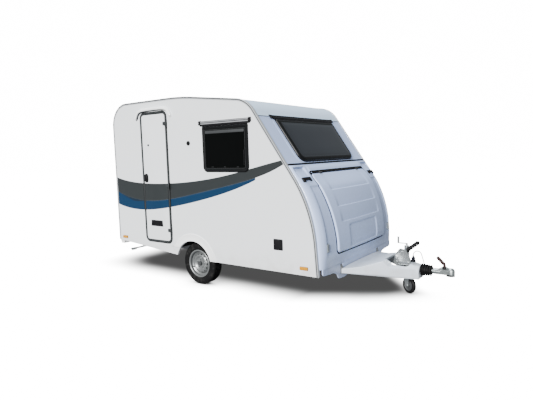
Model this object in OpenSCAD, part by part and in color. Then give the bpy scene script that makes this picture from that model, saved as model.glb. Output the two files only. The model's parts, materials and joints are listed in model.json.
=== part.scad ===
// Two-berth touring caravan, single axle, parked on its wheels and jockey wheel.
// Millimetres. +X points forward to the hitch, +Y to the left, +Z up, ground at z = 0.
// The pieces are drawn with x = 0 at the wheel axle and then moved so that the
// origin lies under the middle of the whole caravan.

/* [Body shell] */
// Width over the side walls
body_w = 1995; // [1900:5:2200]
// Axle to the rear wall
tail_len = 1560; // [1450:10:1700]
// Height of the roof
roof_z = 2437; // [2380:1:2500]
// Radius where the rear wall turns into the roof
tail_r = 310; // [200:10:380]
// Height of the lower edge of the side wall at the rear
rear_sill_z = 479; // [460:1:500]
// Height of the lower edge of the side wall at the front
front_sill_z = 349; // [330:1:370]
// Thickness of the walls, roof and door
wall_t = 28; // [24:1:36]
// Thickness of the floor panel
floor_t = 38; // [30:1:45]
// Height of the floor's upper face
floor_z = 513; // [500:1:530]

/* [Front shape] */
// Axle to the start of the falling roof line, rearwards
roof_break_x = 150; // [50:10:300]
// Axle to the brow corner above the front window
brow_x = 933; // [900:1:960]
// Height of the brow corner
brow_z = 2310; // [2290:1:2330]
// Radius of the brow
brow_r = 350; // [200:10:400]
// Axle to the nose corner of the side profile
nose_x = 1777; // [1760:1:1800]
// Height of the nose corner
nose_z = 1087; // [1060:1:1110]
// Radius of the nose
nose_r = 1500; // [1200:50:1600]
// Axle to the front lower corner of the side wall
toe_x = 1831; // [1820:1:1850]
// How far the moulded front stands proud of the side profile
front_proud = 62; // [40:1:75]
// Width of the rounded shoulder at each side of the moulded front
shoulder_w = 92; // [60:1:120]
// Height of the seam between upper front panel and moulded front
upper_seam_z = 1545; // [1530:1:1560]
// Height of the seam between moulded front and skirt
lower_seam_z = 424; // [415:1:440]
// Width of the edge trim on the side wall
trim_w = 24; // [16:1:34]
// Thickness of the edge trim
trim_t = 5; // [3:1:8]

/* [Entrance door] */
// Axle to the rear edge of the door frame
door_rear = 947; // [900:1:980]
// Axle to the front edge of the door frame
door_front = 420; // [400:1:440]
// Height of the top of the door frame
door_top = 2279; // [2200:1:2290]
// Face width of the door frame
door_flange = 27; // [20:1:36]
// Corner radius of the door frame
door_r = 75; // [50:5:100]
// Gap round the door leaf
door_gap = 5; // [5:0.5:8]
// How far the hinge axis stands off the wall
hinge_out = 24; // [20:1:30]

/* [Windows] */
// Length of a side window
window_l = 729; // [600:1:760]
// Height of a side window
window_h = 562; // [500:1:600]
// Height of the lower edge of the side windows
window_z = 1475; // [1450:1:1500]
// Face width of the black window frames
window_flange = 30; // [20:1:40]
// Thickness of the panes
pane_t = 5; // [3:0.5:8]
// Distance from the front window's upper corners to the side walls' outer faces
front_window_margin = 262.5; // [255:2.5:330]
// Height of the front window along the slope
front_window_h = 612; // [560:1:640]

/* [Gas locker] */
// Height of the top of the locker lid
lid_top = 1447; // [1420:1:1460]
// Height of the bottom of the locker lid
lid_bottom = 551; // [545:1:600]
// Distance from the lid's upper corners to the side walls' outer faces
lid_margin_top = 297.5; // [285:2.5:350]
// Distance from the lid's lower corners to the side walls' outer faces
lid_margin_bottom = 352.5; // [330:2.5:390]
// Gap round the lid
lid_gap = 6; // [5:0.5:9]
// Thickness of the lid
lid_t = 24; // [18:1:30]
// Depth of one step in the ribbed face of the lid
rib_step = 9; // [5:1:12]
// Length of the gas locker, front to rear
locker_l = 420; // [350:10:480]

/* [Cabin] */
// Height of the bed's upper face
bed_z = 960; // [900:10:1000]
// Length of the bed, front to rear
bed_l = 1300; // [1150:10:1320]
// Thickness of the cushions
cushion_t = 120; // [80:5:140]

/* [Running gear] */
// Outer diameter of the road wheels
tyre_d = 554; // [540:2:570]
// Width of the tyres
tyre_w = 165; // [145:5:175]
// Diameter of the rim flange
rim_d = 365; // [355:1:370]
// How far the tyres lie inside the side walls' outer faces
tyre_inset = 50; // [47.5:0.5:57]
// Radius of the wheel arch opening
arch_r = 314; // [305:1:330]
// Face width of the wheel arch trim
arch_trim_w = 98; // [80:1:110]
// Diameter of the wheel stub axles
stub_d = 35; // [30:1:40]
// Number of vent holes in a rim
rim_holes = 14; // [10:1:16]

/* [Chassis] */
// Distance from the side walls' outer faces to the chassis rails' centre lines
rail_inset = 392.5; // [380:2.5:445]
// Width of a chassis rail
rail_w = 45; // [35:1:55]
// Height of a chassis rail
rail_h = 130; // [110:1:140]
// Height of the drawbar rails
drawbar_h = 104; // [90:1:112]
// Axle to the place where the rails bend into the drawbar
bend_x = 1700; // [1650:10:1740]
// Axle to the nose of the drawbar
drawbar_nose = 2607; // [2550:1:2650]
// Distance from the middle line to a drawbar rail's centre line at the nose
rail_nose_y = 54; // [52:1:62]
// Wall of the drawbar cover
cover_t = 6; // [4:1:8]
// Length of a corner steady leg
steady_l = 532; // [480:1:535]

/* [Hitch] */
// Height of the coupling shaft
hitch_z = 316; // [300:1:330]
// Axle to the tip of the coupling
hitch_tip = 2980; // [2950:1:3000]
// Diameter of the towing ball
ball_d = 50; // [50:1:51]
// Diameter of the coupling shaft
shaft_d = 50; // [40:1:55]
// Largest diameter of the bellows
bellows_d = 146; // [120:1:160]
// Diameter of the handbrake grip
grip_d = 34; // [26:1:38]

/* [Jockey wheel] */
// Diameter of the jockey wheel
jockey_d = 200; // [190:1:210]
// Width of the jockey wheel
jockey_w = 50; // [40:1:60]
// Axle to the jockey tube
jockey_x = 2415; // [2400:1:2430]
// Sideways place of the jockey tube
jockey_y = 70; // [60:1:72]
// Diameter of the outer jockey tube
jockey_tube_d = 60; // [54:1:62]
// Trail of the jockey wheel behind its swivel
jockey_trail = 45; // [35:1:50]

/* [Hidden] */

$fn = 48;
sag = 0.35;        // how far a chord of a rounded corner may cut inside its arc
run = 0.05;        // radial clearance of a shaft in its bore
seat = 0.3;        // clearance of a piece that is seated in another
cut = 1;           // how far a cutting shape runs past the face that it cuts
clear = 6;         // clearance of a moving piece

half_w = body_w / 2;
inner_w = half_w - wall_t;
rail_y = half_w - rail_inset;
axle_z = tyre_d / 2;
tail_bump = 42;    // depth of the rear valance
mid_x = (hitch_tip - tail_len - tail_bump) / 2;
sill_break_x = -70;
floor_under = floor_z - floor_t;

// Corners of the side profile, clockwise from the rear sill: [x, z, radius]
profile = [
    [-tail_len, rear_sill_z, 0],
    [-tail_len, roof_z, tail_r],
    [-roof_break_x, roof_z, 4000],
    [brow_x, brow_z, brow_r],
    [nose_x, nose_z, nose_r],
    [toe_x, front_sill_z, 0],
    [sill_break_x, front_sill_z, 0]
];

// Angle of the front slope below the horizontal
slope = atan((brow_z - nose_z) / (nose_x - brow_x));

function unit(v) = v / norm(v);
function xy(p) = [p[0], p[1]];
function turn(a) = a > 180 ? a - 360 : (a < -180 ? a + 360 : a);
function bearing(v) = atan2(v[1], v[0]);

function chord_angle(r) = max(4, min(24, 2 * acos(1 - sag / r)));

// Points of the arc of radius r that rounds corner b between its neighbours a and c
function corner_arc(a, b, c, r) =
    r <= 0 ? [b] :
    let (u = unit(a - b), v = unit(c - b), half = acos(max(-1, min(1, u * v))) / 2,
         o = b + unit(u + v) * (r / sin(half)),
         first = bearing(b + u * (r / tan(half)) - o),
         sweep = turn(bearing(b + v * (r / tan(half)) - o) - first),
         n = max(1, ceil(abs(sweep) / chord_angle(r))))
    [for (i = [0:n]) o + r * [cos(first + sweep * i / n), sin(first + sweep * i / n)]];

// Outline through corners [x, y, radius]
function rounded(c) =
    let (n = len(c))
    [for (i = [0:n - 1])
        each corner_arc(xy(c[(i + n - 1) % n]), xy(c[i]), xy(c[(i + 1) % n]), c[i][2])];

// Corners moved inwards by t, for corners that run clockwise
function right_of(e) = [e[1], -e[0]];
function inset(c, t) =
    let (n = len(c))
    [for (i = [0:n - 1])
        let (b = xy(c[i]), p = right_of(unit(b - xy(c[(i + n - 1) % n]))),
             q = right_of(unit(xy(c[(i + 1) % n]) - b)),
             m = b + (p + q) * t / (1 + p * q))
        [m[0], m[1], c[i][2] > 0 ? max(0.5, c[i][2] - t) : 0]];

// Clockwise corners of a rectangle with its lower corners rounded by r and its
// upper ones by s
function plate(x0, x1, z0, z1, r, s) =
    [[x0, z0, r], [x0, z1, s], [x1, z1, s], [x1, z0, r]];

// Clockwise corners of a figure that is wider at one end, as seen from the front
function taper_plate(w0, w1, z0, z1, r, s) =
    [[-w0, z0, r], [-w1, z1, s], [w1, z1, s], [w0, z0, r]];

module outline(c, t = 0) { polygon(rounded(inset(c, t))); }

module ring(c, t0, t1) {
    difference() {
        outline(c, t0);
        outline(c, t1);
    }
}

// A figure drawn in X and Z, carried from y0 to y1
module upright(y0, y1) {
    translate([0, y1, 0]) rotate([90, 0, 0]) linear_extrude(y1 - y0) children();
}

// The same, from depth a to depth b inwards from the outer face of a side wall;
// side is -1 on the right and 1 on the left
module on_side(side, a, b) {
    y = side * half_w;
    if (side < 0) upright(y + a, y + b) children();
    else upright(y - b, y - a) children();
}

// A figure drawn in Y and Z, carried from x0 to x1
module facing(x0, x1) {
    translate([x0, 0, 0]) rotate([90, 0, 90]) linear_extrude(x1 - x0) children();
}

// Frame on the front slope: x down the slope from the brow corner, z outwards
module on_slope() { translate([brow_x, 0, brow_z]) rotate([0, slope, 0]) children(); }

// A figure drawn down and across the front slope, carried from height a to height b
module on_slope_plate(a, b) {
    on_slope() translate([0, 0, a]) linear_extrude(b - a) children();
}

// Rod of diameter d between two points
module rod(a, b, d) {
    v = b - a;
    translate(a)
        rotate([0, acos(v[2] / norm(v)), bearing([v[0], v[1]])])
            cylinder(d = d, h = norm(v));
}

module both_sides() {
    children();
    mirror([0, 1, 0]) children();
}

module place() { translate([-mid_x, 0, 0]) children(); }

// Solid swept through rings of points, all with the same number of points.
// Each ring runs clockwise as seen from the ring after it.
module loft(rings) {
    m = len(rings);
    n = len(rings[0]);
    walls = [for (j = [0:m - 2], i = [0:n - 1])
        let (a = j * n + i, b = j * n + (i + 1) % n)
        each [[a, b, b + n], [a, b + n, a + n]]];
    first = [for (i = [n - 1:-1:0]) i];
    last = [for (i = [0:n - 1]) (m - 1) * n + i];
    polyhedron(points = [for (r = rings) each r], faces = concat(walls, [first], [last]));
}

// Side profile and wall thickness

module side_outline(t = 0) { outline(profile, t); }

// Part of the shell's section between two heights, ahead of the axle or behind it
module shell_part(z0, z1, x0, x1) {
    intersection() {
        difference() {
            side_outline();
            side_outline(wall_t);
        }
        translate([x0, z0]) square([x1 - x0, z1 - z0]);
    }
}

far = 4000;
roof_seam_z = 2118;

// Doors and windows of the side walls: clockwise corners [x, z, radius]
door = plate(-door_rear, -door_front, floor_z, door_top, door_r, door_r);
window_x = 216;
kitchen_x = -tail_len + 270;
window_low_r = 70;
window_top_r = 16;
front_side_window =
    plate(window_x, window_x + window_l, window_z, window_z + window_h, window_low_r, window_top_r);
kitchen_window =
    plate(kitchen_x, kitchen_x + window_l, window_z, window_z + window_h, window_low_r, window_top_r);
rear_window_half = half_w - 387.5;
rear_window =
    plate(-rear_window_half, rear_window_half, window_z, window_z + window_h, window_low_r, window_top_r);

// The front window on the slope, as [distance down the slope, y, radius], clockwise
// as seen in that frame
front_window_d = 285;
front_window_narrowing = 30;
fw_top = half_w - front_window_margin;
fw_low = fw_top - front_window_narrowing;
front_window = [
    [front_window_d, -fw_top, 24],
    [front_window_d, fw_top, 24],
    [front_window_d + front_window_h, fw_low, 110],
    [front_window_d + front_window_h, -fw_low, 110]
];

frame_lap = 12;    // how far a window frame laps over the wall
sleeve = frame_lap + 2 * seat;
skim = 0.1;        // gap between two faces that lie on the sloping wall
frame_proud = 6;   // thickness of a frame's outer flange

// Wheel arches

arch_x = -38;
arch_z = 268;
arch_drop = 400;

module arch(r) {
    translate([arch_x, arch_z]) circle(r, $fn = 96);
    translate([arch_x - r, arch_z - arch_drop]) square([2 * r, arch_drop]);
}

module side_wall(side) {
    on_side(side, 0, wall_t) difference() {
        side_outline();
        arch(arch_r);
        outline(front_side_window, frame_lap);
        if (side < 0) outline(door, frame_lap);
        else outline(kitchen_window, frame_lap);
    }
}

module side_wall_right() { color("#dadee2") place() side_wall(-1); }
module side_wall_left() { color("#dadee2") place() side_wall(1); }

module rear_wall() {
    color("#dadee2") place() difference() {
        upright(-inner_w, inner_w) shell_part(rear_sill_z, roof_seam_z, -far, 0);
        facing(-tail_len - cut, -tail_len + wall_t + cut) outline(rear_window, frame_lap);
    }
}

module roof_panel() {
    color("#e0e5ea") place() difference() {
        upright(-inner_w, inner_w) shell_part(roof_seam_z, far, -far, far);
        translate([roof_light_x - roof_light_l / 2, -roof_light_l / 2, roof_z - wall_t - cut])
            cube([roof_light_l, roof_light_l, wall_t + 2 * cut]);
    }
}

module front_upper() {
    color("#c8d2de") place() difference() {
        upright(-inner_w, inner_w) shell_part(upper_seam_z, roof_seam_z, 0, far);
        on_slope_plate(-wall_t - cut, cut) outline(front_window, frame_lap);
    }
}

// Moulded front: horizontal slices between the lower and the upper seam. Each slice
// follows the side profile at the walls and swells over a round shoulder to the
// proud middle part.

profile_line = [for (p = rounded(profile)) if (p[0] > brow_x) [-p[1], p[0]]];
inner_line = [for (p = rounded(inset(profile, wall_t))) if (p[0] > brow_x - wall_t) [-p[1], p[0]]];
function edge_x(z) = lookup(-z, profile_line);
function inside_x(z) = lookup(-z, inner_line);
// The swell fades in below the upper seam and eases at the toe: [height, share]
swell_table = [[lower_seam_z, 0.66], [560, 0.92], [760, 1], [1000, 1], [1250, 0.94], [upper_seam_z, 0.62]];
function face_x(z) = edge_x(z) + front_proud * lookup(z, swell_table);

shoulder_points = 5;
front_slices = 18;
// Across the front: [share of the swell, distance inwards from the side wall's inner face]
shoulder = [for (i = [0:shoulder_points])
    [sin(90 * i / shoulder_points), shoulder_w * (1 - cos(90 * i / shoulder_points))]];
function front_slice(z) =
    let (proud = face_x(z) - edge_x(z))
    concat(
        [[inside_x(z), -inner_w, z]],
        [[inside_x(z), inner_w, z]],
        [for (s = shoulder) [edge_x(z) + proud * s[0], inner_w - s[1], z]],
        [for (i = [shoulder_points:-1:0])
            [edge_x(z) + proud * shoulder[i][0], -inner_w + shoulder[i][1], z]]);

// Seen from the front, the lid's outline: clockwise corners [y, z, radius]
lid_half_top = half_w - lid_margin_top;
lid_half_bottom = half_w - lid_margin_bottom;
lid_r_top = 60;
lid_r_bottom = 45;
lid = taper_plate(lid_half_bottom, lid_half_top, lid_bottom, lid_top, lid_r_bottom, lid_r_top);

grab_y = inner_w - 131.5;
grab_z = 1478;
pocket_l = 210;
pocket_h = 120;
pocket_depth = 34;

// The flanks beside the lid lie back from the proud face
flank_depth = 9;
flank_half = inner_w - shoulder_w - 12;
flank_top = 1375;
flank_low = 520;

// Side view of what lies ahead of the proud face moved back by t
module ahead_of_face(t) {
    polygon(concat([for (k = [0:24]) let (z = lower_seam_z + (upper_seam_z - lower_seam_z) * k / 24)
        [face_x(z) - t, z]], [[far, upper_seam_z], [far, lower_seam_z]]));
}

module front_lower() {
    color("#c3ccd8") place() {
        difference() {
            loft([for (i = [0:front_slices])
                front_slice(lower_seam_z + (upper_seam_z - lower_seam_z) * i / front_slices)]);
            facing(0, far) outline(lid, 0);
            intersection() {
                upright(-flank_half, flank_half) ahead_of_face(flank_depth);
                facing(0, far) outline(plate(-flank_half, flank_half, flank_low, flank_top, 30, 60));
            }
            both_sides() grab_frame() translate([0, 0, -pocket_depth]) linear_extrude(far)
                outline(plate(-pocket_h / 2, pocket_h / 2, -pocket_l / 2, pocket_l / 2, 30, 30));
        }
        for (y = [-lid_hinge_y, lid_hinge_y]) translate([0, y, 0]) lid_ears();
    }
}

// Frame at the middle of a grab handle: x down the slope, y across, z outwards
module grab_frame() {
    translate([face_x(grab_z), -grab_y, grab_z]) rotate([0, slope, 0]) children();
}

grab_l = 130;
grab_bar = 20;
module grab_handles() {
    color("#15171a") place() both_sides() grab_frame() {
        translate([-grab_bar / 2, -grab_l / 2, -grab_bar / 2]) cube([grab_bar, grab_l, grab_bar]);
        for (s = [-1, 1]) translate([-grab_bar / 2, s * (grab_l / 2 - grab_bar / 2) - grab_bar / 2, -pocket_depth])
            cube([grab_bar, grab_bar, pocket_depth]);
    }
}

// Locker lid with its stepped middle: down to each of these heights the face sinks by
// a step, and there it jumps out again
lid_ledges = [lid_top, 1305, 1120, 950];
lid_proud = 12;
lid_rib_half = lid_half_top - 200;
lid_panel = plate(-lid_half_bottom + 230, lid_half_bottom - 230, lid_bottom + 24, 860, 20, 90);
lid_panel_depth = 7;
function lid_x(z) = face_x(z) + lid_proud;
lid_face = [for (k = [0:24]) let (z = lid_top + (lid_bottom - lid_top) * k / 24) [lid_x(z), z]];
lid_ribbed_face = concat(
    [for (i = [0:2], k = [0:4])
        let (z = lid_ledges[i] + (lid_ledges[i + 1] - lid_ledges[i]) * k / 4)
        [lid_x(z) - k / 4 * rib_step, z]],
    [for (k = [0:8]) let (z = lid_ledges[3] + (lid_bottom - lid_ledges[3]) * k / 8) [lid_x(z), z]]);
lid_back = [for (k = [0:12]) let (z = lid_bottom + (lid_top - lid_bottom) * k / 12)
    [lid_x(z) - rib_step - lid_t, z]];
lid_hinge_z = lid_top + 4;
lid_hinge_x = lid_x(lid_hinge_z) + 4;
lid_hinge_y = lid_half_top - 220;
lid_pin_d = 8;
lid_pin_run = 0.09;
lid_knuckle_d = 18;
lid_knuckle_l = 60;
lid_ear_l = 10;
lid_ear_gap = 1;

// Ears and pin of one lid hinge, which stand on the moulded front
module lid_ears() {
    reach = face_x(lid_hinge_z + 14) - 6;
    for (y = [-lid_knuckle_l / 2 - lid_ear_gap - lid_ear_l, lid_knuckle_l / 2 + lid_ear_gap])
        upright(y, y + lid_ear_l) {
            translate([lid_hinge_x, lid_hinge_z]) circle(lid_knuckle_d / 2);
            polygon([[reach, lid_hinge_z + 4], [reach, lid_hinge_z + 26],
                [lid_hinge_x + 4, lid_hinge_z + 8], [lid_hinge_x + 4, lid_hinge_z]]);
        }
    upright(-lid_knuckle_l / 2 - lid_ear_gap - 1, lid_knuckle_l / 2 + lid_ear_gap + 1)
        translate([lid_hinge_x, lid_hinge_z]) circle(lid_pin_d / 2);
}

// Knuckle of one lid hinge, which stands on the lid
module lid_knuckle() {
    difference() {
        upright(-lid_knuckle_l / 2, lid_knuckle_l / 2) {
            translate([lid_hinge_x, lid_hinge_z]) circle(lid_knuckle_d / 2);
            polygon([[lid_hinge_x - 8, lid_hinge_z - 2], [lid_hinge_x + 8, lid_hinge_z - 2],
                [lid_hinge_x + 4, lid_hinge_z - 26], [lid_hinge_x - 12, lid_hinge_z - 26]]);
        }
        upright(-lid_knuckle_l, lid_knuckle_l)
            translate([lid_hinge_x, lid_hinge_z]) circle(lid_pin_d / 2 + lid_pin_run);
    }
}

module locker_lid() {
    color("#c3ccd8") place() {
        intersection() {
            union() {
                upright(-lid_rib_half, lid_rib_half) polygon(concat(lid_ribbed_face, lid_back));
                both_sides() upright(lid_rib_half, half_w) polygon(concat(lid_face, lid_back));
            }
            facing(0, far) outline(lid, lid_gap);
            difference() {
                translate([0, -half_w, 0]) cube([far, body_w, far]);
                intersection() {
                    upright(-half_w, half_w) ahead_of_face(lid_panel_depth - lid_proud);
                    facing(0, far) outline(lid_panel);
                }
            }
        }
        for (y = [-lid_hinge_y, lid_hinge_y]) translate([0, y, 0]) lid_knuckle();
    }
}

// Tub of the gas locker, open to the front
tub_t = 8;
tub_x = nose_x - locker_l;
tub_half = lid_half_top + 22;
tub_top = lid_top + 20;
module locker_tub() {
    color("#b9bfc6") place() difference() {
        upright(-tub_half, tub_half) intersection() {
            side_outline(wall_t + 2);
            translate([tub_x, floor_z]) square([far, tub_top - floor_z]);
        }
        upright(-tub_half + tub_t, tub_half - tub_t) translate([tub_x + tub_t, floor_z + tub_t])
            square([far, tub_top - floor_z - 2 * tub_t]);
    }
}

// Skirt below the moulded front, with lobes that hang in front of the drawbar rails.
// Seen from the front, its lower edge: [y, z, radius]
skirt_t = 14;
skirt_half = inner_w - 29.5;
skirt_left = [
    [rail_y - 305, 322, 40], [rail_y - 260, 250, 30], [rail_y - 165, 236, 40], [rail_y - 30, 244, 30],
    [rail_y + 5, 300, 40], [rail_y + 95, 336, 60], [skirt_half, 352, 30]
];
skirt_low = concat([for (i = [6:-1:0]) [-skirt_left[i][0], skirt_left[i][1], skirt_left[i][2]]], skirt_left);
skirt_top = lower_seam_z;
module front_skirt() {
    color("#c3ccd8") place() difference() {
        facing(face_x(lower_seam_z) - skirt_t - 8, face_x(lower_seam_z) - 8)
            polygon(rounded(concat(skirt_low, [[skirt_half, skirt_top, 0], [-skirt_half, skirt_top, 0]])));
        both_sides() drawbar_rail(clear);
    }
}

module edge_trims() {
    color("#6e7376") place() for (side = [-1, 1]) {
        difference() {
            union() {
                on_side(side, -trim_t, 0) ring(profile, -trim_t, trim_w);
                on_side(side, 0, wall_t) ring(profile, -trim_t, 0);
            }
            on_side(side, -trim_t - cut, wall_t + cut)
                polygon([[-tail_len + trim_w, 0], [toe_x - trim_w, 0],
                    [toe_x - trim_w, rear_sill_z], [-tail_len + trim_w, rear_sill_z + trim_w + cut]]);
            on_side(side, -trim_t - cut, wall_t + cut)
                translate([-far, 0]) square([2 * far, front_sill_z]);
            on_side(side, -trim_t - cut, wall_t + cut)
                translate([-far, 0]) square([far, rear_sill_z]);
        }
    }
}

// Entrance door, hinged at its front edge

leaf_inset = door_flange + door_gap;
leaf_proud = 8;
hinge_x = -door_front + 6;
hinge_y = -half_w - hinge_out;
hinge_zs = [660, 1260, 2080];
hinge_l = 70;
hinge_pin_d = 8;
hinge_d = 18;
leaf_front = -door_front - leaf_inset;

module door_leaf() {
    color("#dadee2") place() difference() {
        union() {
            on_side(-1, -leaf_proud, wall_t) outline(door, leaf_inset);
            for (z = hinge_zs) {
                translate([hinge_x, hinge_y, z]) cylinder(d = hinge_d, h = hinge_l);
                translate([leaf_front - 40, hinge_y - hinge_d / 2, z])
                    cube([hinge_x - leaf_front + 40, 6, hinge_l]);
                translate([leaf_front - 40, hinge_y - hinge_d / 2, z])
                    cube([12, -half_w - leaf_proud - hinge_y + hinge_d / 2, hinge_l]);
            }
        }
        for (z = hinge_zs) translate([hinge_x, hinge_y, z - cut])
            cylinder(d = hinge_pin_d + 2 * run, h = hinge_l + 2 * cut);
        on_side(-1, wall_t - 8, wall_t + cut) outline(door, leaf_inset + 36);
    }
}

lock_x = -871;
lock_z = 1394;
stud_x = -796;
catch_z = 1842;
vent_x = -700;
vent_z = 775;
vent_w = 240;
vent_h = 84;
module door_fittings() {
    color("#15171a") place() {
        on_side(-1, -leaf_proud - 12, -leaf_proud) translate([lock_x, lock_z]) scale_oval(40, 62);
        on_side(-1, -leaf_proud - 22, -leaf_proud - 12) translate([lock_x - 22, lock_z - 12]) square([44, 24]);
        on_side(-1, -leaf_proud - 6, -leaf_proud)
            outline(plate(vent_x - vent_w / 2, vent_x + vent_w / 2, vent_z - vent_h / 2, vent_z + vent_h / 2, 8, 8));
        on_side(-1, -leaf_proud - 12, -leaf_proud) translate([stud_x, catch_z]) circle(14);
    }
}

// Oval of half width a and half height b, as a stadium
module scale_oval(a, b) {
    translate([0, b - a]) circle(a);
    translate([0, a - b]) circle(a);
    translate([-a, a - b]) square([2 * a, 2 * (b - a)]);
}

module door_frame() {
    color("#5d6266") place() {
        on_side(-1, -frame_proud, 0) ring(door, 0, door_flange);
        on_side(-1, 0, wall_t) ring(door, sleeve, door_flange);
        on_side(-1, wall_t, wall_t + 20) ring(door, 0, door_flange);
        on_side(-1, wall_t + clear, wall_t + clear + 6) ring(door, door_flange, leaf_inset + 16);
        for (z = hinge_zs) for (e = [z - 14, z + hinge_l + 2]) {
            translate([hinge_x, hinge_y, e]) cylinder(d = hinge_d, h = 12);
            translate([hinge_x - hinge_d / 2, hinge_y, e]) cube([hinge_d, hinge_out - frame_proud, 12]);
            translate([hinge_x - 3 * hinge_d / 2, -half_w - frame_proud, e])
                cube([2 * hinge_d, frame_proud, 12]);
        }
        for (z = hinge_zs) translate([hinge_x, hinge_y, z - 14]) cylinder(d = hinge_pin_d, h = hinge_l + 28);
    }
}

// Drip gutter over the door, outer edge then inner edge
gutter_t = 22;
gutter = [
    [-1046, 2176, 0], [-965, 2336, 60], [-398, 2336, 60], [-308, 2180, 0],
    [-334, 2180, 0], [-412, 2312, 40], [-948, 2312, 40], [-1020, 2176, 0]
];
module door_gutter() { color("#eef1f4") place() on_side(-1, -gutter_t, 0) polygon(rounded(gutter)); }

// Windows: a flange outside, a sleeve through the wall and a flange inside

module side_frame(side, c) {
    on_side(side, -frame_proud, 0) ring(c, 0, window_flange);
    on_side(side, 0, wall_t) ring(c, sleeve, window_flange);
    on_side(side, wall_t, wall_t + 5) ring(c, 0, window_flange);
}

module window_frames() {
    color("#101214") place() {
        side_frame(-1, front_side_window);
        side_frame(1, front_side_window);
        side_frame(1, kitchen_window);
        facing(-tail_len - frame_proud, -tail_len) ring(rear_window, 0, window_flange);
        facing(-tail_len, -tail_len + wall_t) ring(rear_window, sleeve, window_flange);
        facing(-tail_len + wall_t, -tail_len + wall_t + 5) ring(rear_window, 0, window_flange);
        on_slope_plate(skim, frame_proud) ring(front_window, 0, window_flange);
        on_slope_plate(-wall_t - skim, skim) ring(front_window, sleeve, window_flange);
        on_slope_plate(-wall_t - 5, -wall_t - skim) ring(front_window, 0, window_flange);
    }
}

pane_inset = 7;
module window_panes() {
    color("#1a1d20") place() {
        on_side(-1, -frame_proud - pane_t, -frame_proud) outline(front_side_window, pane_inset);
        on_side(1, -frame_proud - pane_t, -frame_proud) outline(front_side_window, pane_inset);
        on_side(1, -frame_proud - pane_t, -frame_proud) outline(kitchen_window, pane_inset);
        facing(-tail_len - frame_proud - pane_t, -tail_len - frame_proud) outline(rear_window, pane_inset);
        on_slope_plate(frame_proud, frame_proud + pane_t) outline(front_window, pane_inset);
    }
}

rail_up = 24;      // gap between window and rail above it
rail_face = 38;
rail_depth = 16;
rail_past = 40;
module window_rails() {
    color("#a9aeb3") place() {
        for (side = [-1, 1]) on_side(side, -rail_depth, 0)
            translate([window_x - rail_past, window_z + window_h + rail_up])
                square([window_l + 2 * rail_past, rail_face]);
        on_side(1, -rail_depth, 0) translate([kitchen_x - rail_past, window_z + window_h + rail_up])
            square([window_l + 2 * rail_past, rail_face]);
        facing(-tail_len - rail_depth, -tail_len)
            translate([-rear_window_half - rail_past, window_z + window_h + rail_up])
                square([2 * (rear_window_half + rail_past), rail_face]);
        on_slope_plate(skim, rail_depth) translate([front_window_d - rail_up - rail_face, -fw_top - 10])
            square([rail_face, 2 * fw_top + 20]);
    }
}

arch_trim_t = 12;
module arch_trims() {
    color("#e6e9ec") place() for (side = [-1, 1]) on_side(side, -arch_trim_t, 0) intersection() {
        difference() {
            arch(arch_r + arch_trim_w);
            arch(arch_r);
        }
        side_outline();
    }
}

box_t = 6;
box_over = 66;      // how far the box stands over the tyre
box_deep = 247.5;
box_r = axle_z + box_over;
box_in = inner_w - box_deep;
module wheel_boxes() {
    color("#2a2c2e") place() both_sides() difference() {
        upright(-inner_w, -box_in) intersection() {
            translate([0, axle_z]) circle(box_r, $fn = 96);
            translate([-far, floor_under]) square([2 * far, far]);
        }
        upright(-inner_w - cut, -box_in - box_t) intersection() {
            translate([0, axle_z]) circle(box_r - box_t, $fn = 96);
            translate([-far, floor_under - cut]) square([2 * far, far]);
        }
    }
}

module floor_panel() {
    color("#8f8a80") place() difference() {
        upright(-inner_w, inner_w) intersection() {
            side_outline(wall_t + seat);
            translate([-far, floor_under]) square([2 * far, floor_t]);
        }
        both_sides() upright(-inner_w - cut, -box_in + seat) translate([0, axle_z]) circle(box_r + seat, $fn = 96);
    }
}

// Bed across the front of the cabin: a chest of boards with three cushions on it
board_t = 18;
bed_x1 = tub_x;
bed_x0 = bed_x1 - bed_l;
bed_gap = 5;       // between two cushions
cushion_w = (2 * inner_w - 4 * bed_gap) / 3;
board_z = bed_z - cushion_t - board_t;
module bed_base() {
    color("#b79c78") place() {
        translate([bed_x0, -inner_w, board_z]) cube([bed_l, 2 * inner_w, board_t]);
        translate([bed_x0, -box_in + clear, floor_z]) cube([board_t, 2 * (box_in - clear), board_z - floor_z]);
        for (y = [-box_in / 2, box_in / 2 - board_t]) translate([bed_x0, y, floor_z])
            cube([bed_l, board_t, board_z - floor_z]);
    }
}
module bed_cushions() {
    color("#6d7f93") place() for (i = [0:2])
        translate([0, -inner_w + bed_gap + i * (cushion_w + bed_gap), bed_z - cushion_t])
            linear_extrude(cushion_t) outline(plate(bed_x0, bed_x1 - bed_gap, 0, cushion_w, 40, 40));
}

// Chassis: straight rails under the floor, drawbar rails that fall towards the nose

rail_bottom = floor_under - rail_h;
drawbar_fall = 0.085;
drawbar_top = 414;
drawbar_yaw = atan((rail_y - rail_nose_y) / (drawbar_nose - bend_x));
drawbar_l = (drawbar_nose - cover_t - seat - rail_w / 2 * sin(drawbar_yaw) - bend_x) / cos(drawbar_yaw);
cover_half = rail_nose_y + (rail_w / 2 + seat + cover_t) / cos(drawbar_yaw);

// Distance from the middle line to the inner face of a drawbar rail
function rail_inside(x) =
    rail_nose_y + (drawbar_nose - x) * tan(drawbar_yaw) - rail_w / 2 / cos(drawbar_yaw);
// Height of a drawbar rail's upper face
function rail_top(x) = drawbar_top - drawbar_fall * (x - bend_x) / cos(drawbar_yaw);

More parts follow.
